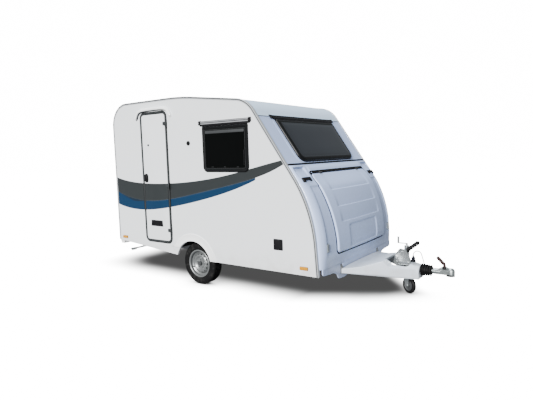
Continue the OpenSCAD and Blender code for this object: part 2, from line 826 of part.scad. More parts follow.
// One rail of the drawbar on the right side, grown by g all round
module drawbar_rail(g = 0) {
    translate([bend_x, -rail_y, 0]) rotate([0, 0, drawbar_yaw])
        upright(-rail_w / 2 - g, rail_w / 2 + g) polygon([
            [0, drawbar_top - drawbar_h - g], [0, drawbar_top + g],
            [drawbar_l, drawbar_top - drawbar_fall * drawbar_l + g],
            [drawbar_l, drawbar_top - drawbar_h - drawbar_fall * drawbar_l - g]]);
}

rail_rear = -tail_len + 60;
rail_taper_x = -250;
rail_taper_h = 80;
module chassis_rail() {
    upright(-rail_y - rail_w / 2, -rail_y + rail_w / 2) polygon([
        [rail_rear, floor_under], [bend_x + 12, floor_under], [bend_x + 12, drawbar_top - drawbar_h],
        [bend_x - 160, rail_bottom], [rail_taper_x, rail_bottom], [rail_rear, floor_under - rail_taper_h]]);
    drawbar_rail();
}

module rail_right() { color("#9ea3a6") place() chassis_rail(); }
module rail_left() { color("#9ea3a6") place() mirror([0, 1, 0]) chassis_rail(); }

member_half = rail_y - rail_w / 2;
// Cross members: [x, height]
members = [[rail_rear + 60, 60], [-620, 80], [900, 90], [1560, 90]];
steady_x = [1172, -tail_len + 560];      // pivots of the front and rear steadies
steady_y = half_w - 197.5;
steady_z = 432;
steady_ear = 34;
module cross_members() {
    color("#9ea3a6") place() {
        for (m = members) translate([m[0], -member_half, floor_under - m[1]])
            cube([40, 2 * member_half, m[1]]);
        for (x = steady_x) both_sides() translate([x, -steady_y, 0]) {
            for (s = [-1, 1]) translate([-24, s * steady_ear - 3, steady_z - 18])
                cube([48, 6, floor_under - steady_z + 18]);
            translate([-24, -steady_ear - 3, floor_under - 5]) cube([48, 2 * steady_ear + 6, 5]);
            translate([0, steady_ear + 3, steady_z]) rotate([90, 0, 0])
                cylinder(d = 12, h = 2 * steady_ear + 6);
        }
    }
}

// Axle: rubber-sprung beam, trailing arms, stubs and the fixed brake back plates
beam_x = 150;
beam_z = 304;
beam_d = 84;
tyre_out = half_w - tyre_inset;
hub_face = tyre_out - 46;
drum_in = hub_face - 115.5;
arm_t = 36;
arm_y = drum_in - arm_t - 10;
drum_d = 224;
bracket_t = 6;
bracket_l = 120;
bracket_up = 90;    // how far a bracket laps over its rail
arm_root_r = 46;
arm_end_r = 40;
arm_edge = 4;       // how far the arm's sides lie inside its two ends
back_plate_r = 105;
back_plate_t = 6;
stub_short = 12;    // how far the stub ends behind the hub's face
hub_d = 64;
hub_bore_l = hub_face - drum_in;
module axle() {
    color("#8b9094") place() {
        rotate([90, 0, 0]) translate([beam_x, beam_z, -arm_y]) cylinder(d = beam_d, h = 2 * arm_y, $fn = 6);
        both_sides() {
            upright(-arm_y - arm_t, -arm_y) {
                translate([beam_x, beam_z]) circle(arm_root_r);
                translate([0, axle_z]) circle(arm_end_r);
                polygon([
                    [0, axle_z + arm_end_r - arm_edge], [beam_x, beam_z + arm_root_r - arm_edge],
                    [beam_x, beam_z - arm_root_r + arm_edge], [0, axle_z - arm_end_r + arm_edge]
                ]);
            }
            upright(-arm_y - arm_t - back_plate_t, -arm_y - arm_t) translate([0, axle_z]) circle(back_plate_r);
            upright(-hub_face + stub_short, -arm_y - arm_t - back_plate_t)
                translate([0, axle_z]) circle(stub_d / 2);
            translate([beam_x - bracket_l / 2, -rail_y - rail_w / 2 - bracket_t, beam_z])
                cube([bracket_l, bracket_t, rail_bottom + bracket_up - beam_z]);
            translate([beam_x - bracket_l / 2, -rail_y - rail_w / 2 - bracket_t,
                beam_z + beam_d / 2 * cos(30) - cut])
                cube([bracket_l, rail_w + bracket_t, rail_bottom - beam_z - beam_d / 2 * cos(30) + cut]);
        }
    }
}

// Road wheels. Each is drawn as the left one's section: [radius, y]

tyre_in = tyre_out - tyre_w;
bead_r = 165;
tyre_r = tyre_d / 2;
flange_out = 7;     // how far the rim flange lies inside the tyre's outer face
flange_t = 5;
bead_out = flange_out + flange_t + seat;
tyre_section = [
    [bead_r, tyre_in + bead_out, 4], [rim_d / 2 + 4, tyre_in + bead_out, 12], [bead_r + 60, tyre_in, 22],
    [tyre_r - 14, tyre_in + 10, 14], [tyre_r, tyre_in + 26, 14], [tyre_r, tyre_out - 26, 14],
    [tyre_r - 14, tyre_out - 10, 14], [bead_r + 60, tyre_out, 22],
    [rim_d / 2 + 4, tyre_out - bead_out, 12], [bead_r, tyre_out - bead_out, 4]
];

// Turns a section about the axle on one side
module turned(side) {
    translate([0, 0, axle_z]) rotate([side > 0 ? -90 : 90, 0, 0]) rotate_extrude($fn = 96) children();
}

module tyre(side) { color("#1c1d1f") place() turned(side) polygon(rounded(tyre_section)); }

rim_wall = 5;
rim_r = rim_d / 2;
well_r = 140;
disc_y = hub_face;
rim_section = [
    [rim_r, tyre_out - flange_out], [rim_r, tyre_out - flange_out - flange_t],
    [bead_r - seat, tyre_out - flange_out - flange_t], [bead_r - seat, tyre_out - 44],
    [well_r, tyre_out - 62], [well_r, tyre_in + 62], [bead_r - seat, tyre_in + 44],
    [bead_r - seat, tyre_in + flange_out + flange_t], [rim_r, tyre_in + flange_out + flange_t],
    [rim_r, tyre_in + flange_out], [bead_r - rim_wall, tyre_in + flange_out],
    [bead_r - rim_wall, tyre_in + 46], [well_r - rim_wall, tyre_in + 64],
    [well_r - rim_wall, tyre_out - 64], [bead_r - rim_wall, tyre_out - 46],
    [bead_r - rim_wall, tyre_out - flange_out]
];
// Dished disc between the well and the hub: outer face then inner face
disc_section = [
    [well_r - 2, tyre_out - 70], [134, tyre_out - 40], [112, tyre_out - 26], [92, tyre_out - 26],
    [78, disc_y + 6], [30, disc_y + 6], [30, disc_y], [81, disc_y], [95, tyre_out - 32],
    [110, tyre_out - 32], [129, tyre_out - 46], [well_r - 2, tyre_out - 82]
];
rim_hole_r = 121;
rim_hole_d = 17;
module rim(side) {
    color("#b4b8bb") place() difference() {
        turned(side) {
            polygon(rim_section);
            polygon(disc_section);
        }
        for (i = [0:rim_holes - 1]) translate([0, 0, axle_z]) rotate([0, i * 360 / rim_holes, 0])
            translate([0, 0, rim_hole_r]) rotate([side > 0 ? -90 : 90, 0, 0])
                translate([0, 0, tyre_out - 60]) cylinder(d = rim_hole_d, h = 50);
    }
}

// Brake drum and hub, which turn on the stub
hub_section = [
    [stub_d / 2 + run, drum_in + 4], [hub_d / 2, drum_in + 4], [hub_d / 2, drum_in + 20], [98, drum_in + 20],
    [98, drum_in + 3], [drum_d / 2, drum_in + 3], [drum_d / 2, hub_face - 34], [72, hub_face - 20],
    [72, hub_face - seat], [29, hub_face - seat], [29, hub_face + 26], [24, hub_face + 34], [0, hub_face + 34],
    [0, hub_face + 2], [stub_d / 2 + run, hub_face + 2]
];
bolt_pcd = 112;
module hub(side) {
    color("#7c8185") place() {
        turned(side) polygon(hub_section);
        for (i = [0:4]) translate([0, 0, axle_z]) rotate([0, i * 72, 0]) translate([0, 0, bolt_pcd / 2])
            rotate([side > 0 ? -90 : 90, 0, 0]) translate([0, 0, hub_face + 6]) cylinder(d = 21, h = 13, $fn = 6);
    }
}

module tyre_right() { tyre(-1); }
module tyre_left() { tyre(1); }
module rim_right() { rim(-1); }
module rim_left() { rim(1); }
module hub_right() { hub(-1); }
module hub_left() { hub(1); }

// Corner steadies: pressed legs that fold up under the floor, foot outwards

steady_fold = 14;              // degrees below the horizontal when folded
steady_down = 52;              // the same when lowered, where the foot lies flat
steady_w = 46;
steady_foot_w = 90;
module steady(front, side) {
    x = front ? steady_x[0] : steady_x[1];
    dir = front ? 0 : 180;
    color("#a4a9ac") place() translate([x, side * steady_y, steady_z]) rotate([0, 0, dir])
        rotate([0, steady_fold, 0]) difference() {
            union() {
                upright(-steady_w / 2, steady_w / 2) {
                    circle(16);
                    polygon([[0, 16], [steady_l - 10, 12], [steady_l, 4], [steady_l, -4],
                        [steady_l - 10, -12], [0, -16]]);
                }
                translate([steady_l - 16, -steady_foot_w / 2, -18]) rotate([0, 90 - steady_down, 0])
                    cube([8, steady_foot_w, 46]);
            }
            upright(-steady_w / 2 + 4, steady_w / 2 - 4)
                polygon([[26, -20], [26, 8], [steady_l - 40, 6], [steady_l - 40, -20]]);
            upright(-steady_w, steady_w) circle(6 + run);
        }
}
module steady_front_right() { steady(true, -1); }
module steady_front_left() { steady(true, 1); }
module steady_rear_right() { steady(false, -1); }
module steady_rear_left() { steady(false, 1); }

// Drawbar cover: a thin moulding over the drawbar rails, open underneath

cover_rear = 1872;
cover_deck = [[cover_rear, 432], [2190, 424], [2560, 402], [drawbar_nose, 386]];
cover_low_nose = 214;
cover_low_rear = 304;

// Half width of the cover at x, less a wall of t
function cover_edge(x, t) =
    cover_half + (drawbar_nose - x) * tan(drawbar_yaw) - t / cos(drawbar_yaw);
module cover_plan(t) {
    rear = cover_rear - (t > 0 ? cut : 0);
    nose = drawbar_nose - t;
    polygon([[rear, -cover_edge(rear, t)], [nose, -cover_edge(nose, t)],
        [nose, cover_edge(nose, t)], [rear, cover_edge(rear, t)]]);
}
well_x0 = 2240;
well_x1 = 2500;
module drawbar_cover() {
    color("#dfe4e9") place() difference() {
        intersection() {
            linear_extrude(far) cover_plan(0);
            upright(-half_w, half_w)
                polygon(concat(cover_deck, [[drawbar_nose, cover_low_nose], [cover_rear, cover_low_rear]]));
        }
        intersection() {
            linear_extrude(far) cover_plan(cover_t);
            upright(-half_w, half_w) polygon(concat(
                [[cover_rear - cut, 0], [cover_rear - cut, cover_deck[0][1] - cover_t]],
                [for (p = cover_deck) [p[0], p[1] - cover_t]], [[drawbar_nose, 0]]));
        }
        linear_extrude(far) polygon([[well_x0, -185], [well_x1, -105], [well_x1, 105], [well_x0, 185]]);
        facing(drawbar_nose - 3 * cover_t, drawbar_nose + cut) translate([0, hitch_z]) circle(34);
    }
}

// Overrun housing: a tube between the noses of the drawbar rails with a flange on them
housing_x0 = 2440;
housing_x1 = drawbar_nose - cover_t - seat;
housing_half = shaft_d / 2 + 5;
flange_half = 92;
flange_x = 2451;
housing_top = rail_top(housing_x0) + seat;
module overrun_housing() {
    color("#6f7478") place() difference() {
        union() {
            translate([housing_x0, -housing_half, hitch_z - 40])
                cube([housing_x1 - housing_x0, 2 * housing_half, housing_top + 8 - hitch_z + 40]);
            translate([0, 0, housing_top]) linear_extrude(8) polygon([
                [flange_x, -flange_half], [2550, -60], [2550, 60], [flange_x, flange_half]]);
        }
        translate([housing_x0 - cut, 0, hitch_z]) rotate([0, 90, 0])
            cylinder(d = shaft_d + 2 * seat, h = housing_x1 - housing_x0 + 2 * cut);
    }
}

bellows_x0 = drawbar_nose;
bellows_x1 = 2735;
folds = 5;
fold_l = (bellows_x1 - bellows_x0) / folds;
bellows_line = [for (i = [0:folds - 1])
    let (r = bellows_d / 2 - 3 * i, x = i * fold_l)
    each [[r - 16, x + 1], [r, x + fold_l * 0.3], [r, x + fold_l * 0.7], [r - 16, x + fold_l - 1]]];
module bellows() {
    color("#141517") place() translate([bellows_x0, 0, hitch_z]) rotate([0, 90, 0]) rotate_extrude()
        polygon(concat([[shaft_d / 2 + seat, 0]], [[bellows_d / 2 - 16, 0]], bellows_line,
            [[bellows_d / 2 - 28, folds * fold_l]], [[shaft_d / 2 + seat, folds * fold_l]]));
}

// Coupling head: shaft, cast neck and the cup for the towing ball, open downwards
cup_r = 40;
cup_x = hitch_tip - cup_r;
neck_x = 2800;      // where the shaft ends and the cast neck starts
neck_mid_x = 2860;
collar_l = 62;
collar_d = 68;
shaft_back = 20;    // how far inside the housing the shaft starts
cup_low = hitch_z - 28;
cup_top = hitch_z + 52;
socket_top = hitch_z + 12;
module coupling_head() {
    color("#aeb3b6") place() difference() {
        union() {
            translate([housing_x0 + shaft_back, 0, hitch_z]) rotate([0, 90, 0])
                cylinder(d = shaft_d, h = neck_x - housing_x0 - shaft_back);
            translate([neck_x - 48, 0, hitch_z]) rotate([0, 90, 0]) cylinder(d = collar_d, h = collar_l);
            translate([0, 0, hitch_z - 26]) linear_extrude(58) polygon([
                [neck_x, -33], [neck_mid_x, -30], [cup_x, -cup_r], [cup_x, cup_r], [neck_mid_x, 30], [neck_x, 33]
            ]);
            translate([cup_x, 0, 0]) rotate_extrude() polygon([
                [0, cup_low], [cup_r, cup_low], [cup_r, hitch_z + 22], [cup_r - 7, hitch_z + 38],
                [cup_r - 20, cup_top - 4], [0, cup_top]]);
            translate([0, 9, 0]) rotate([90, 0, 0]) linear_extrude(18)
                polygon([[neck_x, hitch_z + 30], [neck_x + 50, hitch_z + 62], [neck_x + 90, hitch_z + 60],
                    [cup_x, hitch_z + 40]]);
        }
        translate([cup_x, 0, cup_low - cut]) cylinder(d = ball_d + 1, h = socket_top - cup_low + cut);
        translate([cup_x, 0, socket_top]) sphere(d = ball_d + 1);
    }
}

module coupling_bumper() {
    color("#141517") place() difference() {
        translate([cup_x, 0, cup_low - 12]) cylinder(r = cup_r, h = 12);
        translate([cup_x, 0, cup_low - 12 - cut]) cylinder(d = ball_d + 6, h = 12 + 2 * cut);
    }
}

module coupling_handle() {
    color("#3a2424") place() {
        difference() {
            rod([2868, 0, hitch_z + 40], [2868, 0, hitch_z + 96], 30);
            translate([2800, -9 - seat, hitch_z - 40]) cube([120, 18 + 2 * seat, 104]);
        }
        rod([2868, 0, hitch_z + 84], [2784, 0, hitch_z + 164], 25);
    }
}

// Handbrake: a bent flat lever on the housing, parked with its grip up
brake_t = 12;
brake_lever = [
    [2408, hitch_z - 38], [2404, hitch_z + 8], [2440, 508], [2520, 576], [2530, 562], [2458, 498],
    [2436, hitch_z + 12], [housing_x0 - seat, hitch_z], [housing_x0 - seat, hitch_z - 38]
];
brake_grip = [[2462, 0, 533], [2574, 0, 622]];
module handbrake() {
    color("#15171a") place() {
        upright(-brake_t / 2, brake_t / 2) polygon(brake_lever);
        rod(brake_grip[0], brake_grip[1], grip_d);
        rod(brake_grip[1] - [5, 0, 4], brake_grip[1] + [9, 0, 7], grip_d - 12);
    }
}

// Jockey wheel

tube_top = 560;
tube_low = 246;
tube_bore_d = 49;
clamp_z = 262;
clamp_h = 56;
leg_top = 520;
leg_low = 214;
fork_turn = -30;
jockey_r = jockey_d / 2;
crank_z = 590;
crank_l = 102;
crank_w = 16;
crank_t = 10;
crank_grip_d = 24;
crank_grip_h = 70;
module jockey_tube() {
    color("#b4b8bb") place() {
        difference() {
            union() {
                translate([jockey_x, jockey_y, tube_low]) cylinder(d = jockey_tube_d, h = tube_top - tube_low);
                translate([0, 0, clamp_z]) linear_extrude(clamp_h) {
                    translate([jockey_x, jockey_y]) circle(jockey_tube_d / 2 + 9);
                    polygon([[jockey_x - 30, jockey_y], [jockey_x - 30, rail_inside(jockey_x - 30) - seat],
                        [jockey_x + 30, rail_inside(jockey_x + 30) - seat], [jockey_x + 30, jockey_y]]);
                }
            }
            translate([jockey_x, jockey_y, tube_low - cut]) cylinder(d = tube_bore_d, h = leg_top - tube_low + 40);
        }
        translate([jockey_x, jockey_y, tube_top]) cylinder(d = 26, h = crank_z - tube_top);
        translate([jockey_x - crank_l - crank_w / 2, jockey_y - crank_w / 2, crank_z - crank_t])
            cube([crank_l + crank_w, crank_w, crank_t]);
        translate([jockey_x - crank_l, jockey_y, crank_z]) cylinder(d = crank_grip_d, h = crank_grip_h);
    }
}

module jockey_leg() {
    color("#c0c4c7") place() translate([jockey_x, jockey_y, leg_low])
        difference() {
            cylinder(d = tube_bore_d - 2 * run - 0.1, h = leg_top - leg_low);
            translate([0, 0, -cut]) cylinder(d = 16 + 2 * run, h = spigot_top - leg_low + 2 + cut);
        }
}

module fork_frame() {
    translate([jockey_x, jockey_y, 0]) rotate([0, 0, fork_turn]) children();
}

fork_top = leg_low - seat;
spigot_top = tube_low - 16;
cheek_t = 4;
cheek_y = jockey_w / 2 + clear;
module jockey_fork() {
    color("#9aa0a4") place() fork_frame() {
        translate([0, 0, fork_top - 6]) cylinder(d = 16, h = spigot_top - fork_top + 6);
        translate([-28, -cheek_y - cheek_t, fork_top - 6]) cube([jockey_trail + 56, 2 * (cheek_y + cheek_t), 6]);
        for (s = [-1, 1]) upright(s > 0 ? cheek_y : -cheek_y - cheek_t, s > 0 ? cheek_y + cheek_t : -cheek_y)
            polygon([[-28, fork_top], [jockey_trail + 28, fork_top], [jockey_trail + 20, jockey_r - 14],
                [jockey_trail - 20, jockey_r - 14], [-28, fork_top - 24]]);
        translate([jockey_trail, cheek_y + cheek_t + 4, jockey_r]) rotate([90, 0, 0])
            cylinder(d = 16, h = 2 * (cheek_y + cheek_t + 4));
    }
}

jockey_section = [
    [8 + run, -jockey_w / 2 - 3, 0], [22, -jockey_w / 2 - 3, 0], [24, -jockey_w / 2 + 14, 3],
    [64, -jockey_w / 2 + 12, 4], [70, -jockey_w / 2, 4], [jockey_r - 12, -jockey_w / 2, 8],
    [jockey_r, -jockey_w / 2 + 14, 10], [jockey_r, jockey_w / 2 - 14, 10], [jockey_r - 12, jockey_w / 2, 8],
    [70, jockey_w / 2, 4], [64, jockey_w / 2 - 12, 4], [24, jockey_w / 2 - 14, 3],
    [22, jockey_w / 2 + 3, 0], [8 + run, jockey_w / 2 + 3, 0]
];
module jockey_wheel() {
    color("#232427") place() fork_frame() translate([jockey_trail, 0, jockey_r]) rotate([90, 0, 0])
        rotate_extrude($fn = 72) polygon(rounded(jockey_section));
}

// Lead to the towing car: its plug is parked in a holder on the cover

holder_x = 2533;
holder_y = -46;
holder_d = 58;
holder_h = 18;
plug_d = 44;
plug_l = 46;
plug_tail_l = 24;
holder_z = lookup(holder_x - holder_d / 2, cover_deck) + seat;
plug_z = holder_z + 3 + seat;
module plug_holder() {
    color("#2b2d30") place() translate([holder_x, holder_y, holder_z]) difference() {
        cylinder(d = holder_d, h = holder_h);
        translate([0, 0, 3]) cylinder(d = plug_d + 2 * seat, h = holder_h);
    }
}
module plug() {
    color("#1a2233") place() translate([holder_x, holder_y, plug_z]) {
        cylinder(d = plug_d, h = plug_l);
        translate([0, 0, plug_l]) cylinder(d1 = plug_d - 6, d2 = 20, h = plug_tail_l);
    }
}

// Route of the cable from the plug to the bellows, ahead of the axle
cable_d = 11;
cable_route = [
    [2533, -46, 479.2], [2533, -46, 485], [2536, -45, 501], [2544, -44, 515], [2556, -41, 525],
    [2571, -38, 530], [2586, -34, 529], [2601, -31, 523], [2612, -28, 512], [2619, -27, 498],
    [2627, -25, 471], [2635, -23, 444], [2642, -22, 417], [2650, -20, 391]
];
cable_sides = 10;

function cable_ring(i) =
    let (n = len(cable_route), a = cable_route[max(0, i - 1)], b = cable_route[min(n - 1, i + 1)],
         t = unit(b - a), u = unit(cross(t, [0, 1, 0])), v = cross(t, u))
    [for (k = [0:cable_sides - 1])
        cable_route[i] + cable_d / 2 * (cos(360 * k / cable_sides) * u - sin(360 * k / cable_sides) * v)];
module plug_cable() {
    color("#141517") place() loft([for (i = [0:len(cable_route) - 1]) cable_ring(i)]);
}

// Lamps and small fittings

marker_l = 105;
marker_h = 40;
marker_t = 18;
marker_places = [[-tail_len + 139, 528], [toe_x - 176, 428]];
module marker_lamps() {
    color("#f2a318") place() for (side = [-1, 1], m = marker_places) on_side(side, -marker_t, 0)
        outline(plate(m[0] - marker_l / 2, m[0] + marker_l / 2, m[1] - marker_h / 2, m[1] + marker_h / 2, 10, 10));
}

lamp_y = inner_w - 119.5;
lamp_z = 645;
lamp_w = 62;
lamp_h = 96;
lamp_t = 18;
module front_lamps() {
    color("#eef2f5") place() both_sides()
        facing(face_x(lamp_z - lamp_h / 2) + seat, face_x(lamp_z) + lamp_t)
            outline(plate(-lamp_y - lamp_w / 2, -lamp_y + lamp_w / 2, lamp_z - lamp_h / 2, lamp_z + lamp_h / 2, 10, 10));
}

catch_x = 2 * hinge_x - stud_x;
flap_x = 1320;
flap_z = 661;
flap_w = 128;
flap_t = 14;
module wall_fittings() {
    color("#15171a") place() {
        on_side(-1, -8, 0) translate([catch_x, catch_z]) circle(30);
        on_side(-1, -26, -8) translate([catch_x, catch_z]) circle(16);
        on_side(-1, -flap_t, 0)
            outline(plate(flap_x - flap_w / 2, flap_x + flap_w / 2, flap_z - flap_w / 2, flap_z + flap_w / 2, 12, 12));
    }
}

valance_top = 640;
valance_low = rear_sill_z - 62;
rear_lamp_y = inner_w - 179.5;
rear_lamp_w = 240;
rear_lamp_h = 92;
valance_t = 6;
module rear_valance() {
    color("#dadee2") place() difference() {
        upright(-inner_w, inner_w) polygon([
            [-tail_len, valance_top], [-tail_len, rear_sill_z], [-tail_len + 60, rear_sill_z],
            [-tail_len + 60, valance_low], [-tail_len - 8, valance_low], [-tail_len - tail_bump, rear_sill_z + 30],
            [-tail_len - tail_bump, valance_top - 60]]);
        upright(-inner_w + valance_t, inner_w - valance_t) polygon([
            [-tail_len + cut, valance_top - 16], [-tail_len + cut, rear_sill_z + cut],
            [-tail_len + 60 - valance_t, rear_sill_z + cut], [-tail_len + 60 - valance_t, valance_low + valance_t],
            [-tail_len - 4, valance_low + valance_t], [-tail_len - tail_bump + valance_t, rear_sill_z + 32],
            [-tail_len - tail_bump + valance_t, valance_top - 62]]);
        both_sides() facing(-tail_len - tail_bump - cut, -tail_len - 14)
            outline(plate(-rear_lamp_y - rear_lamp_w / 2, -rear_lamp_y + rear_lamp_w / 2,
                valance_top - 170, valance_top - 170 + rear_lamp_h, 20, 20));
    }
}
module rear_lamps() {
    color("#b3141c") place() both_sides() facing(-tail_len - tail_bump, -tail_len - 14)
        outline(plate(-rear_lamp_y - rear_lamp_w / 2, -rear_lamp_y + rear_lamp_w / 2,
            valance_top - 170, valance_top - 170 + rear_lamp_h, 20, 20), seat);
}

roof_light_x = -620;
roof_light_l = 400;
roof_light_up = 46;
module roof_light() {
    color("#e8ecef") place() translate([roof_light_x, 0, roof_z]) {
        linear_extrude(18) square(roof_light_l + 90, center = true);
        translate([0, 0, 18]) linear_extrude(roof_light_up - 18)
            outline(plate(-roof_light_l / 2, roof_light_l / 2, -roof_light_l / 2, roof_light_l / 2, 60, 60));
        translate([0, 0, -wall_t]) linear_extrude(wall_t) difference() {
            square(roof_light_l - 2 * seat, center = true);
            square(roof_light_l - 24, center = true);
        }
    }
}

rail_right();
rail_left();
cross_members();
axle();
floor_panel();
bed_base();
bed_cushions();
side_wall_right();
side_wall_left();
rear_wall();
roof_panel();
front_upper();
front_lower();
front_skirt();
edge_trims();
locker_tub();
locker_lid();
door_leaf();
door_fittings();
door_frame();
door_gutter();
window_frames();
window_panes();
window_rails();
arch_trims();
wheel_boxes();
tyre_right();
rim_right();
hub_right();
tyre_left();
rim_left();
hub_left();
drawbar_cover();
overrun_housing();
bellows();
coupling_head();
coupling_handle();
coupling_bumper();
handbrake();
jockey_tube();
jockey_leg();
jockey_fork();
jockey_wheel();
plug_holder();
plug();
plug_cable();
marker_lamps();
front_lamps();
grab_handles();
wall_fittings();
rear_lamps();
rear_valance();
roof_light();
steady_front_right();
steady_front_left();
steady_rear_right();
steady_rear_left();
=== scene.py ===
"""Small touring caravan, dressed on its CAD frame.

Lengths are metres. The drawing uses x = 0 at the wheel axle, +X forward, +Y to the
left and +Z up, and `row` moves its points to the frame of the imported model.
"""
from __future__ import annotations

import json
import logging
import math
from dataclasses import dataclass, field
from enum import Enum
from typing import Iterable, Sequence

import bmesh
import bpy
import numpy as np
from mathutils import Matrix, Vector

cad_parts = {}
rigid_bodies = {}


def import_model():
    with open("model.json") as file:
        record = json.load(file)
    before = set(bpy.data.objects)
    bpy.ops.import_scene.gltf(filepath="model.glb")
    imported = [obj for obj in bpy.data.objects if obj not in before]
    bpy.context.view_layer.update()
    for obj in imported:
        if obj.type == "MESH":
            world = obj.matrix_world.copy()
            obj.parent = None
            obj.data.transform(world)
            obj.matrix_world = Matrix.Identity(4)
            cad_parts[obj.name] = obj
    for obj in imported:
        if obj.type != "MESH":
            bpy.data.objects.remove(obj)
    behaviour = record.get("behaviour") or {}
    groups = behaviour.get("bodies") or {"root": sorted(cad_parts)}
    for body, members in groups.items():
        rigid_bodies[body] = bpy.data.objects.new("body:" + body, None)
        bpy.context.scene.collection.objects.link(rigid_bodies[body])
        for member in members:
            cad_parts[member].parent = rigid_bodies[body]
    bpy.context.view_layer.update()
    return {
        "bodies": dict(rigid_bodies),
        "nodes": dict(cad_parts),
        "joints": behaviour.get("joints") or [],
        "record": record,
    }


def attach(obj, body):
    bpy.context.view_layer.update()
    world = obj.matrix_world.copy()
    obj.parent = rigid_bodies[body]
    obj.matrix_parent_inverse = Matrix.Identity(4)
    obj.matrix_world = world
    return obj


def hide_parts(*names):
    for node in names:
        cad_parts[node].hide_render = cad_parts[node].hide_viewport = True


LOG = logging.getLogger("caravan")
Array = np.ndarray
Colour = tuple[float, float, float]
Pair = tuple[float, float]
Point = tuple[float, float, float]
Table = tuple[tuple[float, ...], ...]

MID = 0.689
HALF_W = 0.9975
WALL = 0.028
INNER_W = HALF_W - WALL
AXLE_Z = 0.277
FRAME_PROUD = 0.006
SHARP = 32.0


def row(points: Array) -> Array:
    """Move points from the axle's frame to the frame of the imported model."""
    return np.asarray(points, float) - np.array([MID, 0.0, 0.0])


def mm(*rows: Sequence[float]) -> Table:
    """A table whose numbers are given in millimetres, in metres."""
    return tuple(tuple(round(value / 1000, 7) for value in row) for row in rows)


def unit(v: Array) -> Array:
    """Vectors scaled to length one, along the last axis."""
    return v / np.maximum(np.linalg.norm(v, axis=-1, keepdims=True), 1e-12)


def ease(x: Array, low: float, high: float) -> Array:
    """Smooth step: 0 at low, 1 at high, 3t^2 - 2t^3 between."""
    t = np.clip((np.asarray(x, float) - low) / (high - low), 0.0, 1.0)
    return t * t * (3.0 - 2.0 * t)


class Side(Enum):
    """The two sides of the caravan."""

    RIGHT = -1
    LEFT = 1


# Shader expressions.


class Wire:
    """A shader value that adds Math nodes as it is used in an expression."""

    def __init__(self, graph: Graph, socket: bpy.types.NodeSocket) -> None:
        """Keep the socket and the graph that it belongs to."""
        self.graph = graph
        self.socket = socket

    def math(self, operation: str, *values: Wire | float) -> Wire:
        """Value of a Math node.

        Args:
            operation: the node's operation.
            values: its inputs, in order.

        Returns:
            The node's value.
        """
        return self.graph.add("ShaderNodeMath", {"operation": operation}, dict(enumerate(values)))

    def __add__(self, other: Wire | float) -> Wire:
        """Sum."""
        return self.math("ADD", self, other)

    def __radd__(self, other: float) -> Wire:
        """Sum with a number on the left."""
        return self.math("ADD", other, self)

    def __sub__(self, other: Wire | float) -> Wire:
        """Difference."""
        return self.math("SUBTRACT", self, other)

    def __rsub__(self, other: float) -> Wire:
        """Difference from a number."""
        return self.math("SUBTRACT", other, self)

    def __mul__(self, other: Wire | float) -> Wire:
        """Product."""
        return self.math("MULTIPLY", self, other)

    def __rmul__(self, other: float) -> Wire:
        """Product with a number on the left."""
        return self.math("MULTIPLY", other, self)

    def __truediv__(self, other: Wire | float) -> Wire:
        """Quotient."""
        return self.math("DIVIDE", self, other)

    def __pow__(self, other: Wire | float) -> Wire:
        """Power."""
        return self.math("POWER", self, other)

    def __abs__(self) -> Wire:
        """Size without its sign."""
        return self.math("ABSOLUTE", self)

    def least(self, other: Wire | float) -> Wire:
        """The smaller of two values."""
        return self.math("MINIMUM", self, other)

    def most(self, other: Wire | float) -> Wire:
        """The larger of two values."""
        return self.math("MAXIMUM", self, other)

    def sine(self) -> Wire:
        """Sine of the value in radians."""
        return self.math("SINE", self)

    def step(self, low: float, high: float) -> Wire:
        """Smooth step from 0 at low to 1 at high; low may be the larger."""
        flip = low > high
        a, b = (high, low) if flip else (low, high)
        out = self.graph.add(
            "ShaderNodeMapRange", {"interpolation_type": "SMOOTHSTEP"},
            {"Value": self, "From Min": a, "From Max": b}
        )
        return 1.0 - out if flip else out


